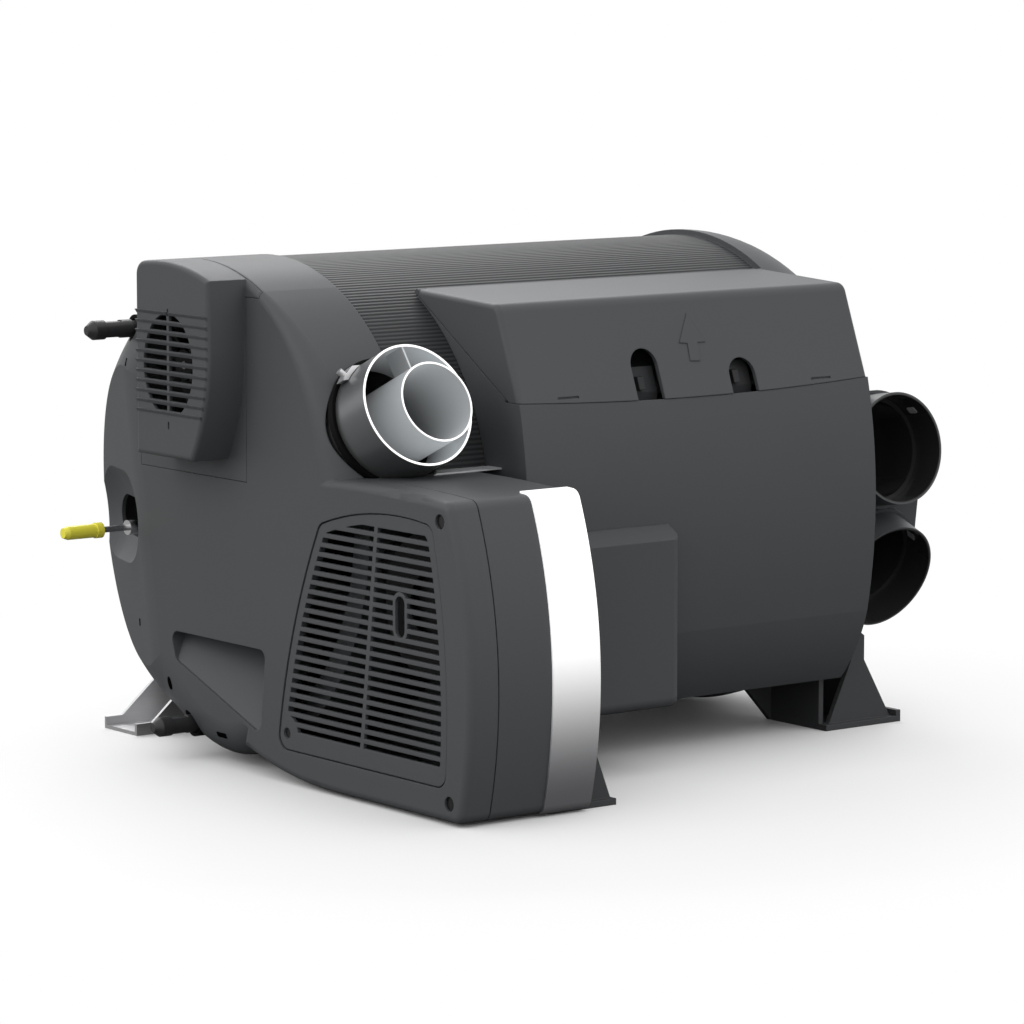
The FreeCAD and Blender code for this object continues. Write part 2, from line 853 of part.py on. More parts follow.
def make_end_cap():
    body = cap_body()
    burner = burner_box(0.0, mm.burner_depth)
    burner = burner.makeFillet(mm.burner_edge, end_edges(burner, 0.0))
    cavity = cap_cavity()
    room = burner_box(mm.wall, mm.burner_depth + mm.wall, -mm.wall)
    shell = body.fuse(burner).cut(cavity).cut(room.common(burner_box(mm.wall, mm.burner_depth)))
    # hollows with their own walls
    grip_wall = grip_block(mm.wall).common(cylinder(mm.drum_radius, 0.0, mm.cap_length))
    dish = fuel_hollow(mm.hollow_radius + mm.wall).common(body)
    shell = shell.fuse(grip_wall).cut(grip_block(0.0))
    shell = shell.fuse(dish).cut(fuel_hollow(mm.hollow_radius)).cut(fuel_passage())
    # screw bosses behind the burner front
    for v, w in ((mm.screw_upper_v, mm.screw_upper_w), (mm.screw_lower_v, mm.screw_lower_w)):
        boss = cylinder(mm.screw_boss, mm.screw_sink, mm.burner_depth, Vector(0, v, w)).common(burner)
        shell = shell.fuse(boss)
        shell = shell.cut(cylinder(mm.screw_head_radius, -mm.wall, mm.screw_sink, Vector(0, v, w)))
        shell = shell.cut(cylinder(mm.screw_shank_radius, 0.0, mm.burner_depth, Vector(0, v, w)))
    # openings for the grille, the fan cover, the flue, the duct and the water stubs
    shell = shell.cut(grille_block(-mm.wall, 2 * mm.wall, mm.grille_groove))
    seat_end = mm.wall + mm.grille_thickness + mm.seam
    shell = shell.cut(grille_block(mm.wall, seat_end, mm.grille_lip + mm.seam))
    opening = prism(flange_outline(-mm.wall, mm.seam), AXIS * (2 * mm.wall + mm.seam))
    shell = shell.cut(opening)
    shell = shell.cut(flue_cylinder(mm.flue_radius + mm.seal_width, 0.0, mm.exhaust_reach))
    duct_middle = Vector(mm.duct_u, 0, mm.duct_w)
    shell = shell.cut(cylinder(mm.duct_radius + mm.seam, 0.0, 2 * mm.drum_radius, duct_middle, -REAR))
    for v, w in ((mm.hot_v, mm.hot_w), (mm.cold_v, mm.cold_w)):
        hole = mm.stub_radius + mm.water_seal_width + mm.bulkhead_fit
        shell = shell.cut(cylinder(hole, -mm.cap_length, mm.cap_length, Vector(0, v, w)))
    moulded("end_cap", shell.removeSplitter())


def make_fan_cover():
    face = -mm.cover_depth
    box = prism(cover_outline(face), AXIS * (mm.cover_depth + mm.cover_lap))
    rear_edge = near_point(edges_along(box, AXIS), mm.cover_rear, on_drum(mm.cover_rear))
    box = box.makeFillet(mm.cover_corner, [rear_edge])
    box = box.makeFillet(mm.cover_edge, end_edges(box, face))
    flange = prism(flange_outline(0.0), AXIS * mm.wall).common(cap_body())
    room = prism(cover_outline(face + mm.cover_wall, -mm.cover_wall), AXIS * (mm.cover_depth + 2 * mm.wall))
    # louvres: each slat stands out at its top edge and falls back to its foot
    slats = []
    for row in range(int(mm.louvre_rows)):
        top = mm.louvre_top - row * mm.louvre_pitch
        runs = [[(face - mm.louvre_step, top)], [(face + mm.cover_edge, top - mm.louvre_pitch)]]
        slat = outline((face + mm.cover_edge, top), runs, facing_front(-2 * mm.cover_front))
        slats.append(prism(slat, REAR * (4 * mm.cover_front)))
    limits = prism(cover_outline(face - mm.louvre_step, -mm.cover_wall / 2), AXIS * mm.cover_depth)
    body = box.multiFuse([flange] + [slat.common(limits) for slat in slats]).cut(room)
    # oval grille: rows of slots on both sides of an upright rib
    middle = Vector(2 * face, -mm.vent_front, mm.vent_height)
    tall = middle + UP * mm.vent_half_height
    wide = middle + REAR * mm.vent_half_width
    oval = prism(Part.Wire(Part.Ellipse(tall, wide, middle).toShape()), AXIS * (2 * mm.cover_depth))
    slots = slot_rows(mm.vent_rows, mm.louvre_top - mm.vent_drop + mm.vent_slot / 2, mm.louvre_pitch,
                      mm.vent_slot, 2 * face, 0.0)
    rib = Part.makeBox(2 * mm.cover_depth, mm.vent_rib, 2 * mm.vent_height,
                       Vector(2 * face, -mm.vent_front - mm.vent_rib / 2, 0))
    body = body.cut(slots.common(oval).cut(rib))
    for w in (mm.tick_upper, mm.tick_lower):
        corner = Vector(face - mm.cover_depth, -mm.vent_front - mm.tick_width / 2, w)
        body = body.cut(Part.makeBox(mm.cover_depth + mm.tick_depth, mm.tick_width, mm.tick_height, corner))
    # lugs that hold the cover behind the end face
    for v, w in ((-mm.lug_width, mm.flange_floor), (mm.lug_width, mm.flange_floor)):
        corner = Vector(mm.wall, v - mm.lug_width / 2, w - mm.lug_reach)
        body = body.fuse(Part.makeBox(mm.lug_thickness, mm.lug_width, 2 * mm.lug_reach, corner))
    moulded("fan_cover", body.removeSplitter())


def grille_eye(radius):
    # upright round-ended hole through the grille
    ends = [cylinder(radius, -mm.wall, 2 * mm.wall, Vector(0, -mm.eye_front, -drop)) for drop in (mm.eye_high, mm.eye_low)]
    corner = Vector(-mm.wall, -mm.eye_front - radius, -mm.eye_low)
    return Part.makeBox(3 * mm.wall, 2 * radius, mm.eye_low - mm.eye_high, corner).multiFuse(ends)


def make_burner_grille():
    face = mm.grille_setback
    plate = grille_block(face, mm.wall)
    lip = grille_block(mm.wall, mm.wall + mm.grille_thickness, mm.grille_lip)
    window = grille_block(mm.wall, 2 * mm.wall + mm.grille_thickness, -mm.grille_border)
    slots = slot_rows(mm.grille_rows, mm.grille_top, mm.grille_pitch, mm.grille_slot, -mm.wall, 2 * mm.wall)
    field = grille_block(-mm.wall, 2 * mm.wall, -mm.grille_border)
    half = mm.grille_rib / 2
    rib_start = (-mm.grille_rib_top - half, mm.grille_top + mm.grille_bow)
    rib_runs = [[(-mm.grille_rib_top + half, mm.grille_top + mm.grille_bow)],
                [(-mm.grille_rib_foot + half, -mm.grille_floor)],
                [(-mm.grille_rib_foot - half, -mm.grille_floor)]]
    rib = prism(outline(rib_start, rib_runs, across(-mm.wall)), AXIS * (3 * mm.wall))
    corner = Vector(0, -mm.pad_front, -mm.pad_drop)
    screw_pad = cylinder(mm.pad_radius, -mm.wall, 2 * mm.wall, corner)
    rim = grille_eye(mm.eye_radius + mm.eye_rim)
    body = plate.fuse(lip.cut(window)).cut(slots.common(field).cut(rib).cut(rim).cut(screw_pad))
    body = body.cut(grille_eye(mm.eye_radius)).cut(cylinder(mm.pad_recess, -mm.wall, face + mm.pad_depth, corner))
    moulded("burner_grille", body.removeSplitter())


def make_burner_housing():
    box = burner_box(mm.burner_depth + mm.burner_seam, mm.burner_end)
    box = box.makeFillet(mm.burner_edge, end_edges(box, mm.burner_end))
    room = burner_box(mm.burner_depth - mm.wall, mm.burner_end - mm.wall, -mm.wall)
    drum = cylinder(mm.drum_radius + mm.seam, 0.0, 2 * mm.burner_end)
    collar = flue_cylinder(mm.flue_radius + mm.seam, 0.0, mm.exhaust_reach)
    moulded("burner_housing", box.cut(room).cut(drum).cut(collar).removeSplitter())


def make_trim_band():
    end = mm.trim_start + mm.trim_width
    strip = burner_box(mm.trim_start, end, mm.trim_thickness).cut(burner_box(mm.trim_start, end))
    front = Part.makeBox(mm.trim_width, mm.burner_reach, 2 * mm.drum_radius,
                         Vector(mm.trim_start, -mm.trim_top_reach - mm.burner_reach, -mm.burner_floor))
    moulded("trim_band", strip.common(front))


def make_jacket():
    turn = Rotation(UP, AXIS)
    length = size.jacket_end - size.cap_length
    inner_radius = size.jacket_radius - size.jacket_wall
    skin = doc.addObject("Part::Cylinder", "jacket_skin")
    bind(skin, Radius=size.jacket_radius, Height=length)
    seat(skin, size.cap_length, turn=turn)
    room = doc.addObject("Part::Cylinder", "jacket_room")
    bind(room, Radius=inner_radius, Height=length)
    seat(room, size.cap_length, turn=turn)
    flue = doc.addObject("Part::Cylinder", "jacket_flue_hole")
    bind(flue, Radius=size.flue_radius + size.seal_width, Height=size.exhaust_reach)
    seat(flue, size.flue_u, turn=Rotation(UP, radial(mm.flue_angle)))
    tube = doc.addObject("Part::Cut", "jacket_tube")
    tube.Base = skin
    tube.Tool = room
    jacket = doc.addObject("Part::Cut", "drum_jacket")
    jacket.Base = tube
    jacket.Tool = flue
    keep("drum_jacket", jacket)


def outlet_angles():
    # the four outlets: two towards the front and their mirror images to the rear
    return {"outlet_upper_front": size.outlet_upper_angle, "outlet_lower_front": size.outlet_lower_angle,
            "outlet_upper_rear": as_size(180) - size.outlet_upper_angle,
            "outlet_lower_rear": as_size(180) - size.outlet_lower_angle}


def outlet_cylinder(radius, start, end, angle):
    return cylinder(radius, start, end, Vector(mm.outlet_u, 0, 0), radial(angle.number))


def hood_form():
    # the hood's outer form: a dome with a round socket for each outlet and a block between each pair
    groove = mm.jacket_end + mm.hood_groove
    bend = mm.hood_round * math.sqrt(0.5)
    skin_u = mm.hood_end - mm.hood_round
    skin_r = mm.hood_radius - mm.hood_round
    runs = [[(mm.jacket_end, mm.jacket_radius)], [(groove, mm.jacket_radius)], [(groove, mm.hood_radius)],
            [(skin_u, mm.hood_radius)], [(skin_u + bend, skin_r + bend), (mm.hood_end, skin_r)],
            [(mm.hood_end, 0.0)]]
    dome = Part.Face(outline((mm.jacket_end, 0.0), runs, facing_front(0.0))).revolve(Vector(), AXIS, 360)
    radius = mm.outlet_radius + mm.socket_wall
    root = mm.outlet_root - mm.socket_wall
    angles = outlet_angles()
    sockets = [outlet_cylinder(radius, root, mm.socket_reach, angle) for angle in angles.values()]
    for side in ("front", "rear"):
        upper = radial(angles[f"outlet_upper_{side}"].number)
        lower = radial(angles[f"outlet_lower_{side}"].number)
        start = AXIS * (mm.outlet_u - radius)
        corners = [start + upper * root, start + upper * mm.socket_reach, start + lower * mm.socket_reach,
                   start + lower * root]
        sockets.append(prism(Part.makePolygon(corners + corners[:1]), AXIS * (2 * radius)))
    return dome.multiFuse(sockets)


def hood_room():
    # the space inside the dome
    inner = mm.jacket_radius - mm.jacket_wall
    skin_u = mm.hood_end - mm.hood_round
    skin_r = mm.hood_radius - mm.hood_round
    room_round = mm.hood_round - mm.hood_wall
    room_end = mm.hood_end - mm.hood_wall
    rise = math.asin((inner - skin_r) / room_round)
    bend = (skin_u + room_round * math.cos(rise / 2), skin_r + room_round * math.sin(rise / 2))
    meet = (skin_u + room_round * math.cos(rise), inner)
    runs = [[(room_end, 0.0)], [(room_end, skin_r)], [bend, meet], [(mm.jacket_end, inner)]]
    return Part.Face(outline((mm.jacket_end, 0.0), runs, facing_front(0.0))).revolve(Vector(), AXIS, 360)


def make_air_hood():
    hood = hood_form().cut(hood_room())
    bore = mm.outlet_radius + mm.outlet_fit
    for angle in outlet_angles().values():
        hood = hood.cut(outlet_cylinder(bore, mm.outlet_root, 2 * mm.hood_radius, angle))
    moulded("air_hood", hood)


def make_outlets():
    inner = size.outlet_radius - size.outlet_wall
    step_start = size.outlet_reach - size.outlet_step_depth
    profile = [(size.outlet_root, inner - size.outlet_step), (step_start, inner - size.outlet_step),
               (step_start, inner), (size.outlet_reach, inner), (size.outlet_reach, size.outlet_radius),
               (size.outlet_root, size.outlet_radius)]
    angles = outlet_angles()
    for label, angle in angles.items():
        tube = turned(f"{label}_tube", profile, kept=False)
        seat(tube, size.outlet_u, turn=Rotation(AXIS, radial(angle.number)))
        if "upper" in label:
            tube.Label = label
            keep(label, tube)
            continue
        # the lower tube gives way to the upper one where they meet
        upper = angles[label.replace("lower", "upper")]
        room = doc.addObject("Part::Cylinder", f"{label}_room")
        bind(room, Radius=size.outlet_radius + size.seam, Height=size.outlet_reach)
        seat(room, size.outlet_u, turn=Rotation(UP, radial(upper.number)))
        outlet = doc.addObject("Part::Cut", label)
        outlet.Base = tube
        outlet.Tool = room
        keep(label, outlet)


# Electronics housing and its lid

def parting_region(side, offset):
    # space above (side 1) or below (side -1) the sagging edge where lid and housing meet
    middle = (mm.case_start + mm.case_end) / 2
    level = mm.parting + offset
    far = level + side * mm.parting
    start = (mm.case_start - mm.wall, level)
    end = (mm.case_end + mm.wall, level)
    runs = [[(middle, level - mm.parting_sag), end], [(end[0], far)], [(start[0], far)]]
    return prism(outline(start, runs, facing_front(-2 * mm.case_belly_reach)), REAR * mm.case_belly_reach * 2)


def lid_slope():
    # sideways step of the lid's front for each millimetre down
    return (mm.parting_reach - mm.brow_reach) / (mm.brow_top - mm.parting)


def front_of_lid(w):
    return -(mm.brow_reach + (mm.brow_top - w) * lid_slope())


def lid_profile(u, growth=0.0):
    low = mm.parting - mm.parting_sag
    start = (-mm.case_rear, mm.case_top)
    runs = [[(-mm.brow_reach, mm.brow_top)], [(front_of_lid(low), low)],
            [(front_of_lid(low) + 2 * mm.wall, low)], [(-mm.case_rear, mm.case_top - mm.wall)]]
    return grown(outline(start, runs, across(u)), growth)


def lid_room():
    # space under the lid, open downwards
    low = mm.parting - mm.parting_sag - mm.wall
    rise = mm.wall * (mm.case_top - mm.brow_top) / (mm.brow_reach - mm.case_rear)
    top_rear = (-mm.case_rear + mm.wall, mm.case_top - mm.wall + rise)
    brow = (-mm.brow_reach + mm.wall, mm.brow_top - mm.wall)
    foot = (front_of_lid(low) + mm.wall, low)
    runs = [[brow], [foot], [(-mm.case_rear + mm.wall, low)]]
    wire = outline(top_rear, runs, across(mm.case_start + mm.wall))
    return prism(wire, AXIS * (mm.case_end - mm.case_start - 2 * mm.wall))


def notch(u, top):
    # arch-topped notch in the lid's front
    half = mm.notch_width / 2
    low = mm.parting - 2 * mm.parting_sag
    start = (u - half, low)
    runs = [[(u - half, top - half)], [(u, top), (u + half, top - half)], [(u + half, low)]]
    depth = mm.front_zone + 2 * mm.wall
    return prism(outline(start, runs, facing_front(front_of_lid(low) - mm.wall)), REAR * depth)


def hinge_rod(radius, start, end):
    return cylinder(radius, start, end, Vector(0, -mm.hinge_v, mm.hinge_w))


def ear_places():
    # the housing's two hinge ears, just inside the lid's end walls
    inside = mm.wall + mm.seam
    return [mm.case_start + inside, mm.case_end - inside - mm.ear_thickness]


def make_lid():
    length = mm.case_end - mm.case_start
    outer = prism(lid_profile(mm.case_start), AXIS * length)
    brow = near_point(edges_along(outer, AXIS), -mm.brow_reach, mm.brow_top)
    outer = outer.makeFillet(mm.brow_round, [brow])
    rims = [edge for edge in end_edges(outer, mm.case_start) + end_edges(outer, mm.case_end)
            if edge.CenterOfMass.z > (mm.parting + mm.brow_top) / 2 - mm.wall
            and not near_inner_edge(edge)]
    outer = outer.makeFillet(mm.lid_edge, rims)
    lid = outer.cut(lid_room()).cut(parting_region(-1, 0.0))
    lid = lid.cut(cylinder(mm.jacket_radius + 2 * mm.seam, 0.0, mm.hood_end))
    for u, top in ((mm.notch_left, mm.notch_left_top), (mm.notch_right, mm.notch_right_top)):
        lid = lid.cut(notch(u, top))
    for u in (mm.slit_left, mm.slit_right):
        corner = Vector(u, front_of_lid(mm.slit_floor) - mm.wall, mm.slit_floor)
        lid = lid.cut(Part.makeBox(mm.slit_length, mm.wall + mm.slit_size, mm.slit_size, corner))
    # hinge barrel along the rear edge, with room for the housing's ears and pins
    lid = lid.fuse(hinge_rod(mm.barrel_radius, mm.case_start, mm.case_end))
    for place in ear_places():
        gap = hinge_rod(mm.barrel_radius + 2 * mm.seam, place - mm.seam, place + mm.ear_thickness + mm.seam)
        corner = Vector(place - mm.seam, -mm.hinge_v - 2 * mm.ear_width, mm.case_top - mm.ear_drop)
        slot = Part.makeBox(mm.ear_thickness + 2 * mm.seam, 2 * mm.ear_width, mm.ear_drop - mm.wall / 2, corner)
        lid = lid.cut(gap).cut(slot)
    lid = lid.cut(hinge_rod(mm.hinge_pin_radius + mm.running_gap, mm.case_start + mm.wall / 2,
                            mm.case_end - mm.wall / 2).common(hinge_pin_zone(mm.running_gap)))
    moulded("electronics_lid", lid.removeSplitter())


def near_inner_edge(edge):
    # the short and the lower edges of the lid's ends, which stay sharp
    middle = edge.CenterOfMass
    share = (middle.y + mm.parting_reach) / (mm.parting_reach - mm.case_rear)
    chord = mm.parting + (mm.case_top - mm.parting) * share
    return middle.z < chord + mm.wall


def hinge_pin_zone(slack):
    # where the two hinge pins lie: through the ears and into the lid on both sides
    reach = 2 * mm.ear_thickness + slack
    zones = []
    for place in ear_places():
        start = place - mm.wall / 2 - slack
        zones.append(hinge_rod(2 * mm.barrel_radius, start, start + reach + slack))
    return Part.makeCompound(zones)


def make_hinge_pins():
    pins = []
    for place in ear_places():
        start = place - mm.wall / 2
        pins.append(hinge_rod(mm.hinge_pin_radius, start, start + 2 * mm.ear_thickness))
    moulded("lid_hinge_pins", Part.makeCompound(pins))


def lid_end_edge(w):
    # how far to the front the slanted lower edge of the lid's ends lies at a height
    low = mm.parting - mm.parting_sag
    foot = front_of_lid(low) + 2 * mm.wall
    share = (w - low) / (mm.case_top - mm.wall - low)
    return foot + share * (-mm.case_rear - foot)


def case_profile(u, growth=0.0):
    low = mm.parting - mm.seam
    start = (-mm.case_rear, mm.case_top - mm.wall - 2 * mm.seam)
    runs = [[(lid_end_edge(low + 2 * mm.seam), low)], [(front_of_lid(low), low)],
            [(-mm.case_belly_reach, mm.case_belly), (-mm.case_lower_reach, -mm.case_lower)],
            [(-mm.case_chin_reach, -mm.case_chin), (-mm.case_floor_reach, -mm.case_floor)],
            [(-mm.case_floor_rear, -mm.case_floor)]]
    return grown(outline(start, runs, across(u)), growth)


def board_bosses():
    # posts on the front wall that carry the circuit board
    posts = []
    for u, w in board_corners():
        posts.append(cylinder(mm.boss_radius, -mm.board_v, mm.case_belly_reach, Vector(u, 0, w), -REAR))
    return posts


def board_corners():
    low_u = mm.board_start + mm.board_margin
    high_u = mm.board_start + mm.board_length - mm.board_margin
    low_w = mm.board_floor + mm.board_margin
    high_w = mm.board_floor + mm.board_height - mm.board_margin
    return [(low_u, low_w), (high_u, low_w), (low_u, high_w), (high_u, high_w)]


def latch_places():
    return {"lid_latch_left": size.notch_left, "lid_latch_right": size.notch_right}


def latch_shelves():
    # ledges on the housing's front wall that the latches slide on
    shelves = []
    for middle in latch_places().values():
        foot = mm.parting - mm.latch_foot - mm.seam
        length = mm.latch_width + 2 * mm.wall
        depth = mm.case_belly_reach + latch_front().number + mm.latch_thickness + mm.latch_travel
        corner = Vector(middle.number - length / 2, -mm.case_belly_reach, foot - mm.wall)
        shelves.append(Part.makeBox(length, depth, mm.wall, corner))
    return shelves


def hinge_ear(place):
    # ear of the housing that reaches up to the hinge axis
    low = mm.hinge_w - mm.ear_drop
    start = (-mm.hinge_v + mm.ear_width / 2, mm.hinge_w)
    foot_v = -mm.hinge_v - mm.ear_drop
    runs = [[(foot_v + mm.ear_width / 2, low)], [(foot_v - mm.ear_width, low)],
            [(-mm.hinge_v - mm.ear_width / 2, mm.hinge_w)]]
    ear = prism(outline(start, runs, across(place)), AXIS * mm.ear_thickness)
    return ear.fuse(hinge_rod(mm.barrel_radius, place, place + mm.ear_thickness))


def make_case():
    length = mm.case_end - mm.case_start
    outer = prism(case_profile(mm.case_start), AXIS * length)
    room = prism(case_profile(mm.case_start + mm.wall, -mm.wall), AXIS * (length - 2 * mm.wall))
    lift = room.copy()
    lift.translate(UP * 2 * mm.wall)
    drum = cylinder(mm.jacket_radius + mm.seam, 0.0, mm.hood_end)
    body = outer.cut(room).cut(lift.common(lid_mouth())).cut(parting_region(1, -mm.seam).common(front_slab()))
    for post in board_bosses():
        body = body.fuse(post.common(outer))
    for shelf in latch_shelves():
        body = body.fuse(shelf.common(outer))
    ears = []
    for place in ear_places():
        on_left = place < (mm.case_start + mm.case_end) / 2
        start = mm.case_start if on_left else place
        end = place + mm.ear_thickness if on_left else mm.case_end
        body = body.fuse(prism_between(hinge_ear(start).common(outer), start, end))
        ears.append(hinge_ear(place).common(case_and_lid()))
    body = body.cut(hinge_rod(mm.barrel_radius + 2 * mm.seam, mm.case_start, mm.case_end)).multiFuse(ears)
    body = body.cut(drum)
    body = body.cut(hinge_rod(mm.hinge_pin_radius, mm.case_start, mm.case_end).common(hinge_pin_zone(0.0)))
    body = body.cut(burner_clearance())
    for u, w in board_corners():
        hole = cylinder(mm.board_screw_radius, -mm.board_v - mm.wall, -mm.board_v + 2 * mm.wall,
                        Vector(u, 0, w), -REAR)
        body = body.cut(hole)
    moulded("electronics_housing", body.removeSplitter())


def prism_between(slice_shape, start, end):
    # the section of a slice carried from one place along the drum to another
    face = next(face for face in slice_shape.Faces
                if abs(face.BoundBox.XMin - start) < TINY and abs(face.BoundBox.XMax - start) < TINY)
    return face.extrude(AXIS * (end - start))


def burner_clearance():
    return burner_box(mm.burner_depth, mm.burner_end + mm.seam, mm.seam)


def lid_mouth():
    # space over the housing's open top
    start = (-mm.case_rear + mm.wall, mm.case_top)
    runs = [[(-mm.parting_reach - mm.wall, mm.parting - 3 * mm.wall)],
            [(-mm.parting_reach - mm.wall, mm.case_top)]]
    return prism(outline(start, runs, across(mm.case_start)), AXIS * (mm.case_end - mm.case_start))


def front_slab():
    # layer of space that holds the front wall of the housing
    depth = mm.front_zone
    length = mm.case_end - mm.case_start
    corner = Vector(mm.case_start, -mm.case_belly_reach, 0)
    return Part.makeBox(length, depth, mm.case_top, corner)


def case_and_lid():
    # everything inside the outer faces of housing and lid
    length = mm.case_end - mm.case_start
    lid = prism(lid_profile(mm.case_start), AXIS * length)
    return prism(case_profile(mm.case_start), AXIS * length).fuse(lid)


def make_latches():
    # springy tongue that leans with the lid's front, with a nub behind the notch
    lean = (size.parting_reach - size.brow_reach) / (size.brow_top - size.parting)
    tip = lean * size.latch_rise
    back = size.latch_thickness
    low = lean * size.nub_low
    high = lean * size.nub_high
    for label, middle in latch_places().items():
        body = new_body(label)
        tongue = new_sketch(body, "YZ_Plane")
        draw_polygon(tongue, [(0, -size.latch_foot), (back, -size.latch_foot), (back, 0),
                              (back + tip, size.latch_rise), (tip, size.latch_rise), (0, 0)])
        pad(body, tongue, size.latch_width)
        nub = new_sketch(body, "YZ_Plane")
        nub.setExpression("AttachmentOffset.Base.z", size.nub_shift.formula)
        draw_polygon(nub, [(low + back / 2, size.nub_low), (low - size.latch_hook, size.nub_low),
                           (high - size.latch_hook, size.nub_high), (high + back / 2, size.nub_high)])
        pad(body, nub, size.nub_width)
        seat(body, middle - size.latch_width / 2, latch_front(), size.parting)


def latch_front():
    # the latch stands clear behind the inner face of the front wall
    return -size.parting_reach + size.wall + size.latch_stand


def make_cable_cover():
    start = (-mm.case_belly_reach + 2 * mm.wall, -mm.cable_top)
    runs = [[(-mm.case_belly_reach, -mm.cable_top)], [(-mm.cable_reach, -mm.cable_top - mm.cable_slope)],
            [(-mm.cable_reach, -mm.cable_floor)], [(-mm.case_floor_reach, -mm.cable_floor)]]
    block = prism(outline(start, runs, across(mm.cable_start)), AXIS * (mm.cable_end - mm.cable_start))
    ribs = edges_along(block, AXIS)
    block = block.makeFillet(mm.cable_corner, [near_point(ribs, -mm.cable_reach, -mm.cable_floor)])
    block = block.makeFillet(mm.cable_corner, front_right_edges(block))
    length = mm.case_end - mm.case_start
    case = prism(case_profile(mm.case_start), AXIS * length)
    room = block.copy()
    room.translate(Vector(-mm.wall, mm.wall, mm.wall))
    room = room.cut(case)
    shell = block.cut(case).cut(burner_clearance())
    moulded("cable_cover", shell.cut(room.common(inner_box())).removeSplitter())


def front_right_edges(block):
    return [edge for edge in end_edges(block, mm.cable_end)
            if edge.CenterOfMass.y < -mm.cable_reach + mm.cable_corner]


def inner_box():
    # space inside the cable cover, clear of its walls
    return Part.makeBox(mm.cable_end - mm.cable_start - 2 * mm.wall, mm.cable_reach,
                        mm.cable_floor - mm.cable_top - mm.cable_slope - 2 * mm.wall,
                        Vector(mm.cable_start + mm.wall, -mm.cable_reach + mm.wall, -mm.cable_floor + mm.wall))


# Feet

def drum_floor(v, radius):
    return -math.sqrt(radius ** 2 - v ** 2)


def make_left_foot():
    # bent metal channel whose two side webs rise to the drum
    ground = -mm.axis_z
    sheet_t = mm.left_foot_sheet
    start_u = mm.left_foot_u
    end_u = start_u + mm.left_foot_length
    near_v = mm.left_foot_v
    far_v = near_v + mm.left_foot_width
    base = Part.makeBox(mm.left_foot_length, mm.left_foot_width, sheet_t, Vector(start_u, near_v, ground))
    solids = []
    for v in (near_v, far_v - sheet_t):
        start = (start_u, ground)
        post_u = end_u - mm.left_foot_post
        runs = [[(end_u, ground)], [(end_u, 0.0)], [(post_u, 0.0)],
                [(post_u, ground + mm.left_foot_rim + mm.left_foot_rise)],
                [(start_u + mm.left_foot_toe, ground + mm.left_foot_rim)], [(start_u, ground + mm.left_foot_rim)]]
        solids.append(prism(outline(start, runs, facing_front(v)), REAR * sheet_t))
    bracket = base.multiFuse(solids)
    bracket = bracket.cut(cylinder(mm.drum_radius, 0.0, mm.cap_length))
    bracket = bracket.cut(cylinder(mm.jacket_radius, mm.cap_length, mm.jacket_end))
    for u in (start_u + mm.left_foot_length / 4, end_u - mm.left_foot_length / 4):
        middle = Vector(u, near_v + mm.left_foot_width / 2, 0)
        bracket = bracket.cut(cylinder(mm.foot_hole_radius, ground - sheet_t, ground + 2 * sheet_t, middle, UP))
    moulded("left_foot", bracket.removeSplitter())


def make_front_foot():
    # plate under the burner housing with two upright gussets beside the trim band
    ground = -mm.axis_z
    end_u = mm.front_foot_u + mm.front_foot_length
    plate = Part.makeBox(mm.front_foot_length, mm.front_foot_depth, mm.foot_plate,
                         Vector(mm.front_foot_u, mm.front_foot_v, ground))
    gussets = []
    for v in (mm.front_foot_v + mm.foot_web, mm.front_foot_v + mm.front_foot_depth - 2 * mm.foot_web):
        start = (mm.burner_end, ground)
        runs = [[(end_u, ground)], [(mm.burner_end + mm.foot_web, ground + mm.front_foot_rise)],
                [(mm.burner_end, ground + mm.front_foot_rise)]]
        gussets.append(prism(outline(start, runs, facing_front(v)), REAR * mm.foot_web))
    web = Part.makeBox(mm.foot_web, mm.front_foot_depth - 2 * mm.foot_web, mm.front_foot_rise,
                       Vector(mm.burner_end, mm.front_foot_v + mm.foot_web, ground))
    foot = plate.multiFuse(gussets + [web])
    band = burner_box(mm.trim_start - mm.trim_width, mm.trim_start + mm.trim_width, mm.trim_thickness)
    foot = foot.cut(burner_box(0.0, mm.burner_end)).cut(band)
    middle = Vector(mm.burner_end + mm.front_foot_length / 4, mm.front_foot_v + mm.front_foot_depth / 2, 0)
    foot = foot.cut(cylinder(mm.foot_hole_radius, ground - mm.foot_plate, ground + 2 * mm.foot_plate, middle, UP))
    moulded("front_foot", foot.removeSplitter())


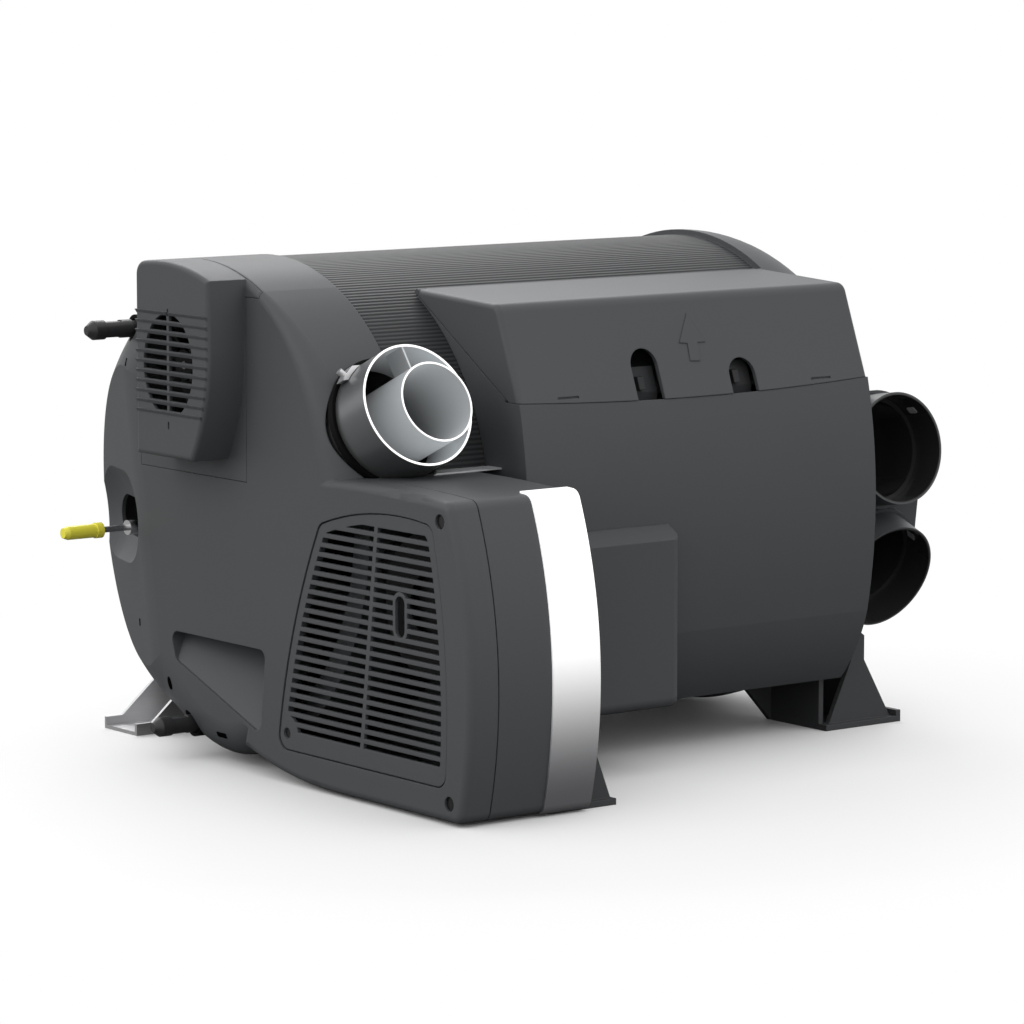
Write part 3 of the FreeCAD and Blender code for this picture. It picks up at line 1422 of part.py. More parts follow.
def make_right_foot():
    # plate with a tall three-cornered front web and a gusset that leans under the housing
    ground = -mm.axis_z
    start_u = mm.right_foot_u
    end_u = start_u + mm.right_foot_length
    front_v = mm.right_foot_v
    depth = mm.right_foot_depth
    plate = Part.makeBox(mm.right_foot_length, depth, mm.foot_plate, Vector(start_u, front_v, ground))
    lip = Part.makeBox(mm.foot_web, depth, 2 * mm.foot_plate, Vector(end_u - mm.foot_web, front_v, ground))
    apex = mm.right_foot_apex_u
    half = mm.right_foot_apex_half
    front_start = (start_u + mm.foot_web, ground)
    front_runs = [[(end_u - mm.foot_web, ground)], [(apex + half, -mm.right_foot_neck)],
                  [(apex + half, -mm.right_foot_top)], [(apex - half, -mm.right_foot_top)],
                  [(apex - half, -mm.right_foot_neck)]]
    webs = []
    for v in (front_v + mm.foot_web, front_v + mm.right_foot_depth - mm.foot_web):
        webs.append(prism(outline(front_start, front_runs, facing_front(v)), REAR * mm.foot_web))
    lean_start = (start_u, ground)
    lean_runs = [[(start_u + mm.foot_web, ground)], [(start_u + mm.foot_web, -mm.case_floor)],
                 [(start_u - mm.right_foot_lean, -mm.case_floor)]]
    rear_web = facing_front(front_v + depth - mm.foot_web)
    lean = prism(outline(lean_start, lean_runs, rear_web), REAR * mm.foot_web)
    tall = mm.axis_z - mm.right_foot_top
    post = Part.makeBox(mm.foot_web, mm.right_foot_depth - 2 * mm.foot_web, tall,
                        Vector(apex - mm.foot_web / 2, front_v + 2 * mm.foot_web, ground))
    side = Part.makeBox(mm.foot_web, mm.right_foot_depth - 2 * mm.foot_web, tall,
                        Vector(start_u, front_v + 2 * mm.foot_web, ground))
    foot = plate.multiFuse([lip, lean, post, side] + webs)
    foot = foot.cut(hood_form())
    foot = foot.cut(cylinder(mm.jacket_radius, 0.0, mm.jacket_end + mm.hood_groove))
    case = prism(case_profile(mm.case_start), AXIS * (mm.case_end - mm.case_start))
    foot = foot.cut(case)
    socket = mm.outlet_radius + mm.socket_wall + mm.seam
    foot = foot.cut(outlet_cylinder(socket, 0.0, 2 * mm.hood_radius, size.outlet_lower_angle))
    quarter = mm.right_foot_length / 4
    for u in (start_u + quarter, end_u - quarter):
        middle = Vector(u, front_v + depth / 2, ground)
        foot = foot.cut(cylinder(mm.foot_hole_radius, -mm.foot_plate, 2 * mm.foot_plate, middle, UP))
    moulded("right_foot", foot.removeSplitter())


# Flue

def flue_place(across_u, across_t, reach):
    # point of the flue: across along the drum, across upwards, and out from the drum's axis
    way = radial(mm.flue_angle)
    up_way = AXIS.cross(way) * -1
    return Vector(mm.flue_u + across_u, 0, 0) + up_way * across_t + way * reach


def make_flue():
    turn = Rotation(AXIS, radial(mm.flue_angle))
    inner = size.flue_radius - size.flue_wall
    collar = turned("flue_collar", tube_profile(size.flue_root, size.flue_reach, size.flue_radius, inner))
    seat(collar, size.flue_u, turn=turn)
    pipe_inner = size.exhaust_radius - size.exhaust_wall
    pipe_wall = tube_profile(size.exhaust_root, size.exhaust_reach, size.exhaust_radius, pipe_inner)
    pipe = turned("exhaust_pipe", pipe_wall)
    seat(pipe, size.flue_u + size.exhaust_shift, turn=turn)
    # rubber ring between drum and collar, trimmed at the burner roof
    ring = flue_cylinder(mm.flue_radius + mm.seal_width, mm.seal_foot, mm.seal_top)
    ring = ring.cut(flue_cylinder(mm.flue_radius + mm.seam, 0.0, mm.exhaust_reach))
    ring = ring.cut(burner_box(0.0, mm.burner_end, mm.seam))
    ring = ring.cut(burner_box(mm.burner_depth, mm.burner_end, mm.seam))
    moulded("flue_seal", ring)
    # two webs that hold the exhaust pipe in the collar
    way = radial(mm.flue_angle)
    space = flue_cylinder(mm.flue_radius - mm.flue_wall, 0.0, mm.flue_reach)
    space = space.cut(flue_cylinder(mm.exhaust_radius, 0.0, 2 * mm.flue_reach, mm.exhaust_shift))
    webs = []
    for angle in (mm.web_upper_angle, mm.web_lower_angle):
        turn_angle = math.radians(angle)
        side = mm.web_thickness / 2
        corners = []
        for along, beside in ((0, -side), (mm.flue_radius, -side), (mm.flue_radius, side), (0, side)):
            across_u = mm.exhaust_shift / 2 + along * math.cos(turn_angle) - beside * math.sin(turn_angle)
            across_t = along * math.sin(turn_angle) + beside * math.cos(turn_angle)
            corners.append(flue_place(across_u, across_t, mm.flue_reach - mm.web_depth))
        blade = Part.Face(Part.makePolygon(corners + corners[:1])).extrude(way * mm.web_depth)
        webs.append(max(blade.common(space).Solids, key=lambda solid: solid.Volume))
    moulded("flue_webs", Part.makeCompound(webs))
    # clamp lug with its screw
    start = mm.clamp_reach - mm.clamp_width
    band = flue_cylinder(mm.flue_radius + mm.clamp_thickness + mm.seam, start, mm.clamp_reach)
    band = band.cut(flue_cylinder(mm.flue_radius + mm.seam, 0.0, mm.exhaust_reach))
    lug_foot = flue_place(-2 * mm.flue_radius, mm.clamp_lift - mm.clamp_span / 2, 0.0)
    up_way = AXIS.cross(way) * -1
    middle = lug_foot + AXIS * 2 * mm.flue_radius
    corners = [lug_foot, middle, middle + up_way * mm.clamp_span, lug_foot + up_way * mm.clamp_span]
    zone = Part.Face(Part.makePolygon(corners + corners[:1])).extrude(way * mm.exhaust_reach)
    moulded("flue_clamp", band.common(zone))
    lug_u = math.sqrt((mm.flue_radius + mm.clamp_thickness + mm.seam) ** 2 - mm.clamp_lift ** 2)
    screw_middle = flue_place(-lug_u, mm.clamp_lift, mm.clamp_reach - mm.clamp_width / 2)
    screw_way = (up_way * mm.clamp_lift - AXIS * lug_u).normalize()
    moulded("flue_screw", cylinder(mm.clamp_screw_radius, 0.0, mm.clamp_screw_length, screw_middle, screw_way))
    # thin shield on the burner roof beside the flue
    plate = Part.makeBox(mm.case_start - mm.shield_start, mm.shield_depth, mm.shield_thickness,
                         Vector(mm.shield_start, -mm.shield_front, mm.burner_roof))
    plate = plate.cut(flue_cylinder(mm.flue_radius + mm.seal_width + mm.seam, 0.0, mm.exhaust_reach))
    plate = plate.cut(cylinder(mm.drum_radius + mm.seam, 0.0, mm.case_start))
    moulded("heat_shield", plate)


def make_exhaust_elbow():
    # quarter bend from the exhaust pipe to the bulkhead
    way = radial(mm.flue_angle)
    middle_u = mm.flue_u + mm.exhaust_shift
    bend = mm.bulkhead_u - middle_u
    centre = Vector(mm.bulkhead_u, 0, 0) + way * mm.exhaust_root
    walls = []
    for radius in (mm.exhaust_radius, mm.exhaust_radius - mm.exhaust_wall):
        ring = Part.Wire(Part.Circle(Vector(middle_u, 0, 0) + way * mm.exhaust_root, way, radius).toShape())
        walls.append(Part.Face(ring).revolve(centre, AXIS.cross(way), 90))
    elbow = walls[0].cut(walls[1])
    if elbow.BoundBox.XMax > mm.bulkhead_u + bend:
        raise ValueError("the exhaust elbow turns away from the bulkhead")
    moulded("exhaust_elbow", elbow)


# Water and fuel connections

def make_water_stub(label, v, w, reach, body_end):
    # straight stub with a pointed end and two flats
    flat_start = -reach + size.stub_point + size.stub_grip
    flat_end = flat_start + size.stub_flat_length
    profile = [(-reach, 0), (-reach, size.stub_tip), (-reach + size.stub_point, size.stub_radius),
               (flat_start, size.stub_radius), (flat_start, size.stub_waist),
               (body_end, size.stub_waist), (body_end, size.stub_neck),
               (body_end + size.stub_neck_length, size.stub_neck), (body_end + size.stub_neck_length, 0)]
    body = turned(label, profile)
    flats = new_sketch(body, "XZ_Plane")
    for side in (1, -1):
        near = (size.stub_radius - size.stub_flat) * side
        far = size.stub_radius * 2 * side
        draw_polygon(flats, [(flat_start, near), (flat_end, near), (flat_end, far), (flat_start, far)])
    pocket(body, flats).Midplane = True
    seat(body, 0.0, v, w)


def make_water():
    make_water_stub("hot_water_stub", size.hot_v, size.hot_w, size.hot_reach, size.hot_end)
    make_water_stub("cold_water_stub", size.cold_v, size.cold_w, size.cold_reach, size.cold_end)
    tank_start = size.bulkhead_u + size.bulkhead_thickness
    for label, v, w, end in (("hot_water_pipe", size.hot_v, size.hot_w, size.hot_end),
                             ("cold_water_pipe", size.cold_v, size.cold_w, size.cold_end)):
        profile = rod_profile(end + size.stub_neck_length, tank_start, size.water_pipe_radius)
        seat(turned(label, profile), 0.0, v, w)
    seals = []
    for u, v, w in ((mm.hot_seal_u, mm.hot_v, mm.hot_w), (mm.cold_seal_u, mm.cold_v, mm.cold_w)):
        ring = cylinder(mm.stub_radius + mm.water_seal_width, 0.0, mm.water_seal_length, Vector(u, v, w))
        bore = cylinder(mm.stub_radius + mm.bulkhead_fit, 0.0, mm.water_seal_length, Vector(u, v, w))
        seals.append(ring.cut(bore))
    moulded("water_seals", Part.makeCompound(seals))


def make_fuel():
    start = Vector(-mm.fuel_reach, mm.fuel_v, mm.fuel_w)
    turn_u = mm.fuel_inner - mm.fuel_bend
    bend_start = Vector(turn_u, mm.fuel_v, mm.fuel_w)
    quarter = mm.fuel_bend * (1 - math.sqrt(0.5))
    bend_middle = Vector(mm.fuel_inner - quarter, mm.fuel_v - quarter, mm.fuel_w)
    bend_end = Vector(mm.fuel_inner, mm.fuel_v - mm.fuel_bend, mm.fuel_w)
    head_v = math.sqrt(mm.burner_head_radius ** 2 - mm.fuel_w ** 2)
    end = Vector(mm.fuel_inner, head_v, mm.fuel_w)
    path = Part.Wire([Part.LineSegment(start, bend_start).toShape(),
                      Part.Arc(bend_start, bend_middle, bend_end).toShape(),
                      Part.LineSegment(bend_end, end).toShape()])
    ring = Part.Wire(Part.Circle(start, AXIS, mm.fuel_radius).toShape())
    pipe = path.makePipeShell([ring], True, False)
    pipe = pipe.cut(cylinder(mm.burner_head_radius, 0.0, mm.bulkhead_u))
    moulded("fuel_pipe", pipe)
    tip = -size.fuel_cap_tip
    mouth = tip + size.fuel_cap_length
    bore = size.fuel_radius + size.running_gap
    pipe_end = -size.fuel_reach
    profile = [(tip, 0), (tip, size.fuel_cap_point), (tip + size.fuel_cap_point, size.fuel_cap_radius),
               (mouth - size.fuel_cap_collar_length, size.fuel_cap_radius),
               (mouth - size.fuel_cap_collar_length, size.fuel_cap_collar), (mouth, size.fuel_cap_collar),
               (mouth, bore), (pipe_end - size.seam, bore), (pipe_end - size.seam, 0)]
    seat(turned("fuel_cap", profile), 0.0, size.fuel_v, size.fuel_w)
    union = turned("fuel_union", tube_profile(size.union_start, size.union_start + size.union_length,
                                              size.union_radius, size.fuel_radius))
    seat(union, 0.0, size.fuel_v, size.fuel_w)


# Inner parts

def make_bulkhead():
    body = new_body("bulkhead")
    sketch = new_sketch(body, "YZ_Plane")
    draw_circle(sketch, 0, 0, size.jacket_radius - size.jacket_wall - size.bulkhead_fit)
    pad(body, sketch, size.bulkhead_thickness)
    holes = new_sketch(body, "YZ_Plane")
    draw_circle(holes, size.bulkhead_vent_circle, 0, size.bulkhead_vent_radius)
    round_about(body, pocket(body, holes, True), size.bulkhead_vents)
    passages = new_sketch(body, "YZ_Plane")
    for v, w in ((size.hot_v, size.hot_w), (size.cold_v, size.cold_w)):
        draw_circle(passages, v, w, size.water_pipe_radius + size.bulkhead_fit)
    body.Tip = pocket(body, passages, True)
    seat(body, size.bulkhead_u)


def make_tank():
    length = size.tank_length
    corner = size.tank_corner
    outer = size.tank_radius
    inner = size.tank_bore
    profile = [(0, inner), (length, inner), (length, outer - corner), (length - corner, outer), (corner, outer),
               (0, outer - corner)]
    seat(turned("water_tank", profile), size.bulkhead_u + size.bulkhead_thickness)


def make_heat_exchanger():
    body = new_body("heat_exchanger")
    ring = new_sketch(body, "YZ_Plane")
    draw_circle(ring, 0, 0, size.exchanger_radius)
    draw_circle(ring, 0, 0, size.exchanger_bore)
    pad(body, ring, size.exchanger_length)
    fin = new_sketch(body, "YZ_Plane")
    half = size.fin_thickness / 2
    root = size.exchanger_radius - size.fin_thickness
    draw_polygon(fin, [(root, -half), (size.fin_reach, -half), (size.fin_reach, half), (root, half)])
    round_about(body, pad(body, fin, size.exchanger_length), size.fin_count)
    seat(body, size.bulkhead_u + size.bulkhead_thickness)
    tube = turned("combustion_tube", tube_profile(as_size(0), size.tube_length, size.tube_radius,
                                                  size.tube_radius - size.tube_wall))
    seat(tube, size.bulkhead_u + size.bulkhead_thickness)


def make_burner():
    start = size.bulkhead_u - size.burner_head_length
    seat(turned("burner_head", rod_profile(as_size(0), size.burner_head_length, size.burner_head_radius)), start)
    plug = turned("glow_plug", rod_profile(size.burner_head_radius, size.burner_head_radius + size.plug_length,
                                           size.plug_radius))
    seat(plug, size.plug_u, turn=Rotation(AXIS, UP))


def make_blower():
    # scroll with an inlet towards the grille, wheel, motor behind it and duct to the burner
    length = size.blower_length
    skin = size.blower_wall
    profile = [(0, size.blower_inlet), (skin, size.blower_inlet), (skin, size.blower_radius - skin),
               (length - skin, size.blower_radius - skin), (length - skin, size.shaft_radius * 2),
               (length, size.shaft_radius * 2), (length, size.blower_radius), (0, size.blower_radius)]
    seat(turned("blower_housing", profile), size.blower_u, size.blower_v, size.blower_w)
    motor_start = size.blower_u + length
    motor_length = size.burner_end - size.wall - motor_start
    shaft = length - skin * 4
    profile = [(-shaft, 0), (-shaft, size.shaft_radius), (0, size.shaft_radius), (0, size.motor_radius),
               (motor_length, size.motor_radius), (motor_length, 0)]
    seat(turned("blower_motor", profile), motor_start, size.blower_v, size.blower_w)
    wheel_start = size.blower_u + skin * 3
    make_wheel("blower_impeller", wheel_start, size.blower_v, size.blower_w)
    # duct through the cap's drum wall
    middle = Vector(mm.duct_u, 0, mm.duct_w)
    duct = cylinder(mm.duct_radius, 0.0, -mm.blower_v, middle, -REAR)
    duct = duct.cut(cylinder(mm.duct_radius - mm.duct_wall, 0.0, -mm.blower_v, middle, -REAR))
    duct = duct.cut(cylinder(mm.burner_head_radius, 0.0, mm.bulkhead_u))
    scroll = cylinder(mm.blower_radius, 0.0, mm.bulkhead_u, Vector(0, mm.blower_v, mm.blower_w))
    moulded("air_duct", duct.cut(scroll))


def make_wheel(label, start, v, w):
    # wheel of straight vanes round a back plate
    body = new_body(label)
    bore = size.shaft_radius + size.running_gap
    disc = new_sketch(body, "YZ_Plane")
    draw_circle(disc, 0, 0, size.blower_vane_radius)
    draw_circle(disc, 0, 0, bore)
    pad(body, disc, size.blower_wall)
    hub = new_sketch(body, "YZ_Plane")
    draw_circle(hub, 0, 0, size.blower_hub)
    draw_circle(hub, 0, 0, bore)
    pad(body, hub, size.blower_vane_length)
    vane = new_sketch(body, "YZ_Plane")
    half = size.blower_vane_thickness / 2
    root = size.blower_vane_root
    tip = size.blower_vane_radius
    draw_polygon(vane, [(root, -half), (tip, -half), (tip, half), (root, half)])
    round_about(body, pad(body, vane, size.blower_vane_length), size.blower_vanes)
    seat(body, start, v, w)


def make_fan():
    # circulation fan behind the fan cover: hub with pitched blades, motor and carrier
    front_v = -size.vent_front
    height = size.vent_height
    middle = Vector(mm.fan_u, -mm.vent_front, mm.vent_height)
    reach = mm.fan_blade_length
    lean = mm.fan_blade_thickness
    band = [(lean, -reach / 2), (reach, reach / 2 - lean), (reach, reach / 2), (reach - lean, reach / 2),
            (0.0, -reach / 2 + lean)]
    wire = outline((0.0, -reach / 2), [[corner] for corner in band], facing_up(mm.fan_hub - lean))
    blade = prism(wire, UP * (mm.fan_radius - mm.fan_hub))
    blades = []
    for index in range(int(mm.fan_blades)):
        turned_blade = blade.copy()
        turned_blade.rotate(Vector(), AXIS, 360 * index / mm.fan_blades)
        turned_blade.translate(middle)
        blades.append(turned_blade)
    hub = cylinder(mm.fan_hub, 0.0, reach, middle)
    wheel = hub.multiFuse(blades).cut(cylinder(mm.shaft_radius + mm.running_gap, -reach, 2 * reach, middle))
    moulded("fan_impeller", wheel.removeSplitter())
    length = size.fan_motor_length
    shaft = size.fan_motor_u - size.fan_u
    profile = [(-shaft, 0), (-shaft, size.shaft_radius), (0, size.shaft_radius), (0, size.fan_motor_radius),
               (length, size.fan_motor_radius), (length, 0)]
    seat(turned("fan_motor", profile), size.fan_motor_u, front_v, height)
    start = size.fan_motor_u + length
    end = size.bulkhead_u - start
    skin = size.carrier_wall
    profile = [(0, 0), (0, size.carrier_radius), (end, size.carrier_radius), (end, size.carrier_radius - skin),
               (skin, size.carrier_radius - skin), (skin, 0)]
    seat(turned("fan_carrier", profile), start, front_v, height)


def make_sensor():
    start = size.bulkhead_u + size.bulkhead_thickness + size.tank_length
    sensor = turned("water_sensor", rod_profile(as_size(0), size.sensor_length, size.sensor_radius))
    seat(sensor, start, size.sensor_v)


def make_electronics():
    body = new_body("circuit_board")
    sketch = new_sketch(body, "XZ_Plane")
    length = size.board_length
    height = size.board_height
    draw_polygon(sketch, [(0, 0), (length, 0), (length, height), (0, height)])
    margin = size.board_margin
    right = length - margin
    top = height - margin
    for x, y in ((margin, margin), (right, margin), (margin, top), (right, top)):
        draw_circle(sketch, x, y, size.board_screw_radius)
    pad(body, sketch, size.board_thickness, True)
    seat(body, size.board_start, size.board_v, size.board_floor)
    back = size.board_v + size.board_thickness
    blocks = (("relay", size.board_start + size.relay_length, size.board_floor + size.board_height / 2,
               size.relay_length, size.relay_height, size.relay_depth),
              ("terminal_block", size.board_start + size.board_length / 2, size.board_floor + size.terminal_height,
               size.terminal_length, size.terminal_height, size.terminal_depth))
    for label, u, w, block_length, block_height, depth in blocks:
        block = doc.addObject("Part::Box", label)
        bind(block, Length=block_length, Width=depth, Height=block_height)
        seat(keep(label, block), u, back, w)
    can = turned("capacitor", rod_profile(as_size(0), size.capacitor_length, size.capacitor_radius))
    seat(can, size.board_start + size.board_length - size.relay_length, back,
         size.board_floor + size.board_height / 2, Rotation(AXIS, REAR))
    screws = []
    for u, w in board_corners():
        middle = Vector(u, 0, w)
        top = mm.board_v + mm.board_thickness
        head = cylinder(mm.board_screw_head, top, top + mm.board_screw_head_length, middle, REAR)
        screws.append(head.fuse(cylinder(mm.board_screw_radius, mm.board_v - mm.wall, top, middle, REAR)))
    moulded("board_screws", Part.makeCompound(screws))


def make_end_screws():
    screws = []
    for v, w in ((mm.screw_upper_v, mm.screw_upper_w), (mm.screw_lower_v, mm.screw_lower_w)):
        middle = Vector(0, v, w)
        start = mm.screw_sink - mm.screw_head_length / 2
        head = cylinder(mm.screw_head_radius - mm.running_gap, start, mm.screw_sink, middle)
        tip = mm.screw_sink + mm.screw_shank_length
        shank = cylinder(mm.screw_shank_radius - mm.running_gap, mm.screw_sink, tip, middle)
        screws.append(head.fuse(shank))
    moulded("end_screws", Part.makeCompound(screws))


for make in (make_end_cap, make_fan_cover, make_burner_grille, make_burner_housing, make_trim_band, make_jacket,
             make_air_hood, make_outlets, make_lid, make_hinge_pins, make_case, make_latches, make_cable_cover,
             make_left_foot, make_front_foot, make_right_foot, make_flue, make_exhaust_elbow, make_water, make_fuel,
             make_bulkhead, make_tank, make_heat_exchanger, make_burner, make_blower, make_fan, make_sensor,
             make_electronics, make_end_screws):
    make()
doc.recompute()

for item in doc.Objects:
    faults = [state for state in item.State if state in ("Invalid", "Error")]
    if faults:
        raise RuntimeError(f"{item.Label}: {faults}")
broken = [label for label, piece in parts.items() if piece.Shape.isNull() or not piece.Shape.isValid()]
if broken:
    raise RuntimeError(f"no valid shape: {broken}")

os.makedirs("parts", exist_ok=True)
whole = FreeCAD.BoundBox()
for label, piece in parts.items():
    piece.Shape.exportStep(f"parts/{label}.step")
    whole.add(piece.Shape.BoundBox)
    print(f"{label}: {len(piece.Shape.Solids)} solids, {piece.Shape.Volume / 1000:.1f} cm3")
print(f"{len(parts)} pieces, box {whole}")
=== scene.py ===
import math

import bpy
import numpy as np
from mathutils import Matrix, Vector


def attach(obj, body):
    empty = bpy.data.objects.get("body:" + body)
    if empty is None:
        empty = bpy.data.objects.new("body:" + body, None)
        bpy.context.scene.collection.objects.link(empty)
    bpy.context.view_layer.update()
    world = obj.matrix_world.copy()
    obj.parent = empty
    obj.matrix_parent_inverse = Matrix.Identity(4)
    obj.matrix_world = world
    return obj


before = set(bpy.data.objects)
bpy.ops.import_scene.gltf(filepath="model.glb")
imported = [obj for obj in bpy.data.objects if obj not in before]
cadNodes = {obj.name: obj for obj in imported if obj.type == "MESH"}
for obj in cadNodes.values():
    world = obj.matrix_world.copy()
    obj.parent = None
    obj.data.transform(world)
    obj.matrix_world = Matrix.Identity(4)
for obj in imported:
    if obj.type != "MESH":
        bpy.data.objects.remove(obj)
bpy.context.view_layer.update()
print("frame loaded")

# Where the drum lies: u runs along its axis from the end face, v to the rear and w up, in millimetres.
drum = {"endFace": -227.25, "axisY": 60.56, "axisZ": 166.0}
mmPerMetre = 1000


def place(u, v, w):
    # a point given by u, v and w, in metres of the scene
    point = (drum["endFace"] + u, drum["axisY"] + v, drum["axisZ"] + w)
    return Vector([part / mmPerMetre for part in point])


def radial(angle):
    # away from the drum's axis, at an angle above the front: minus cosine to the rear, sine up
    turn = math.radians(angle)
    return Vector((0.0, -math.cos(turn), math.sin(turn)))


# Shader helpers

opaque = 1.0  # alpha of every colour


def feed(tree, value, socket):
    # a value is a constant or the output of another node
    if isinstance(value, bpy.types.NodeSocket):
        tree.links.new(value, socket)
    else:
        socket.default_value = value


def feedInputs(tree, node, **values):
    # an underscore stands for a blank in an input's name
    for key, value in values.items():
        feed(tree, value, node.inputs[key.replace("_", " ")])


def addNode(tree, kind, settings=None, **values):
    node = tree.nodes.new(kind)
    for key, value in (settings or {}).items():
        setattr(node, key, value)
    feedInputs(tree, node, **values)
    return node


def addMath(tree, operation, *values):
    node = addNode(tree, "ShaderNodeMath", {"operation": operation})
    for value, socket in zip(values, node.inputs):
        feed(tree, value, socket)
    return node.outputs[0]


def addVectorMath(tree, operation, *values):
    node = addNode(tree, "ShaderNodeVectorMath", {"operation": operation})
    for value, socket in zip(values, node.inputs):
        feed(tree, value, socket)
    return node.outputs["Value" if operation in ("LENGTH", "DOT_PRODUCT") else "Vector"]


def objectPoint(tree):
    return addNode(tree, "ShaderNodeTexCoord").outputs["Object"]


def scaleAndShift(tree, mask, factor, offset):
    # mask times factor, plus offset
    return addMath(tree, "ADD", addMath(tree, "MULTIPLY", mask, factor), offset)


def smoothRise(tree, source, low, high):
    # nothing up to low, all of it from high on, with a soft change between
    rise = addNode(tree, "ShaderNodeMapRange", {"interpolation_type": "SMOOTHSTEP"},
                   Value=source, From_Min=low, From_Max=high)
    return rise.outputs["Result"]


def axisDistance(tree, point, u, direction):
    # distance from a line that leaves the drum's axis at u: length of the arm crossed with the direction
    arm = addVectorMath(tree, "SUBTRACT", point, place(u, 0.0, 0.0))
    return addVectorMath(tree, "LENGTH", addVectorMath(tree, "CROSS_PRODUCT", arm, direction))


def mixTones(tree, mask, dark, light):
    # each tone is a colour or the output of another node
    tones = [(*tone, opaque) if isinstance(tone, tuple) else tone for tone in (dark, light)]
    mix = addNode(tree, "ShaderNodeMix", {"data_type": "RGBA"}, Factor=mask, A=tones[0], B=tones[1])
    return mix.outputs["Result"]


def shades(color, spread):
    # the colour made darker and lighter by the spread
    return [tuple(part * (1 - spread) for part in color), tuple(part * (1 + spread) for part in color)]


# Shader groups for grain, ribs and brush marks

def newGroup(name, inputs, outputs):
    tree = bpy.data.node_groups.new(name, "ShaderNodeTree")
    for way, sockets in (("INPUT", inputs), ("OUTPUT", outputs)):
        for label, kind in sockets.items():
            tree.interface.new_socket(name=label, in_out=way, socket_type="NodeSocket" + kind)
    return tree, tree.nodes.new("NodeGroupInput"), tree.nodes.new("NodeGroupOutput")


def makeGrainGroup(form):
    # fine moulded grain: a bumped normal with softened edges, the grain itself and a slow change of tone
    tree, start, end = newGroup("mouldedGrain", {"Scale": "Float", "Bump": "Float"},
                                {"Tone": "Float", "Fine": "Float", "Normal": "Vector"})
    point = objectPoint(tree)
    fine = addNode(tree, "ShaderNodeTexNoise", Vector=point, Scale=start.outputs["Scale"],
                   Detail=form["detail"], Roughness=form["roughness"])
    slow = addNode(tree, "ShaderNodeTexNoise", Vector=point, Scale=form["slowScale"], Detail=form["detail"])
    edge = addNode(tree, "ShaderNodeBevel", {"samples": form["edgeSamples"]}, Radius=form["edgeRadius"])
    bump = addNode(tree, "ShaderNodeBump", Strength=start.outputs["Bump"], Distance=form["depth"],
                   Height=fine.outputs["Fac"], Normal=edge.outputs["Normal"])
    feedInputs(tree, end, Tone=slow.outputs["Fac"], Fine=fine.outputs["Fac"], Normal=bump.outputs["Normal"])
    return tree


def makeRibGroup(form):
    # ribs along the drum: half the sine of count times the angle about the drum's axis, plus a half
    tree, start, end = newGroup("drumRibs", {"Count": "Float"}, {"Height": "Float", "Normal": "Vector"})
    axes = addNode(tree, "ShaderNodeSeparateXYZ", Vector=objectPoint(tree))
    rearward = addMath(tree, "SUBTRACT", axes.outputs["Y"], drum["axisY"] / mmPerMetre)
    upward = addMath(tree, "SUBTRACT", axes.outputs["Z"], drum["axisZ"] / mmPerMetre)
    angle = addMath(tree, "ARCTAN2", upward, rearward)
    wave = addMath(tree, "SINE", addMath(tree, "MULTIPLY", angle, start.outputs["Count"]))
    height = scaleAndShift(tree, wave, form["half"], form["half"])
    bump = addNode(tree, "ShaderNodeBump", Strength=form["strength"], Distance=form["depth"], Height=height)
    feedInputs(tree, end, Height=height, Normal=bump.outputs["Normal"])
    return tree


def makeBrushGroup(form):
    # brushed metal: noise whose point is stretched by its own measure along each axis
    tree, start, end = newGroup("brushMarks", {"Stretch": "Vector", "Bump": "Float"},
                                {"Mark": "Float", "Normal": "Vector"})
    scaled = addVectorMath(tree, "MULTIPLY", objectPoint(tree), start.outputs["Stretch"])
    noise = addNode(tree, "ShaderNodeTexNoise", Vector=scaled, Scale=form["scale"], Detail=form["detail"])
    bump = addNode(tree, "ShaderNodeBump", Strength=start.outputs["Bump"], Distance=form["depth"],
                   Height=noise.outputs["Fac"])
    feedInputs(tree, end, Mark=noise.outputs["Fac"], Normal=bump.outputs["Normal"])
    return tree


# depths and the edge radius are in metres
grainGroup = makeGrainGroup({"detail": 2.0, "roughness": 0.55, "slowScale": 7.0, "depth": 0.0004,
                             "edgeRadius": 0.0009, "edgeSamples": 4})
ribGroup = makeRibGroup({"half": 0.5, "strength": 0.6, "depth": 0.0006})
brushGroup = makeBrushGroup({"scale": 1.0, "detail": 3.0, "depth": 0.0002})
print("shader groups made")


# Materials and the pieces that wear them

materials = {}


def newMaterial(name):
    material = bpy.data.materials.new(name)
    material.use_nodes = True
    tree = material.node_tree
    return material, tree, tree.nodes["Principled BSDF"]


def dress(nodes, material):
    for node in nodes:
        mesh = cadNodes[node].data
        mesh.materials.clear()
        mesh.materials.append(material)


def spreadRough(tree, mask, look):
    # roughness that varies about its middle: mask times spread, plus the middle less half the spread
    return scaleAndShift(tree, mask, look["roughSpread"], look["rough"] - look["roughSpread"] / 2)


def plasticMaterial(name, look):
    material, tree, surface = newMaterial(name)
    grain = addNode(tree, "ShaderNodeGroup", {"node_tree": grainGroup},
                    Scale=look["grain"], Bump=look["bump"])
    tone = mixTones(tree, grain.outputs["Tone"], *shades(look["color"], look["spread"]))
    rough = spreadRough(tree, grain.outputs["Fine"], look)
    feedInputs(tree, surface, Base_Color=tone, Roughness=rough, Normal=grain.outputs["Normal"],
               Specular_IOR_Level=look["shine"])
    return material


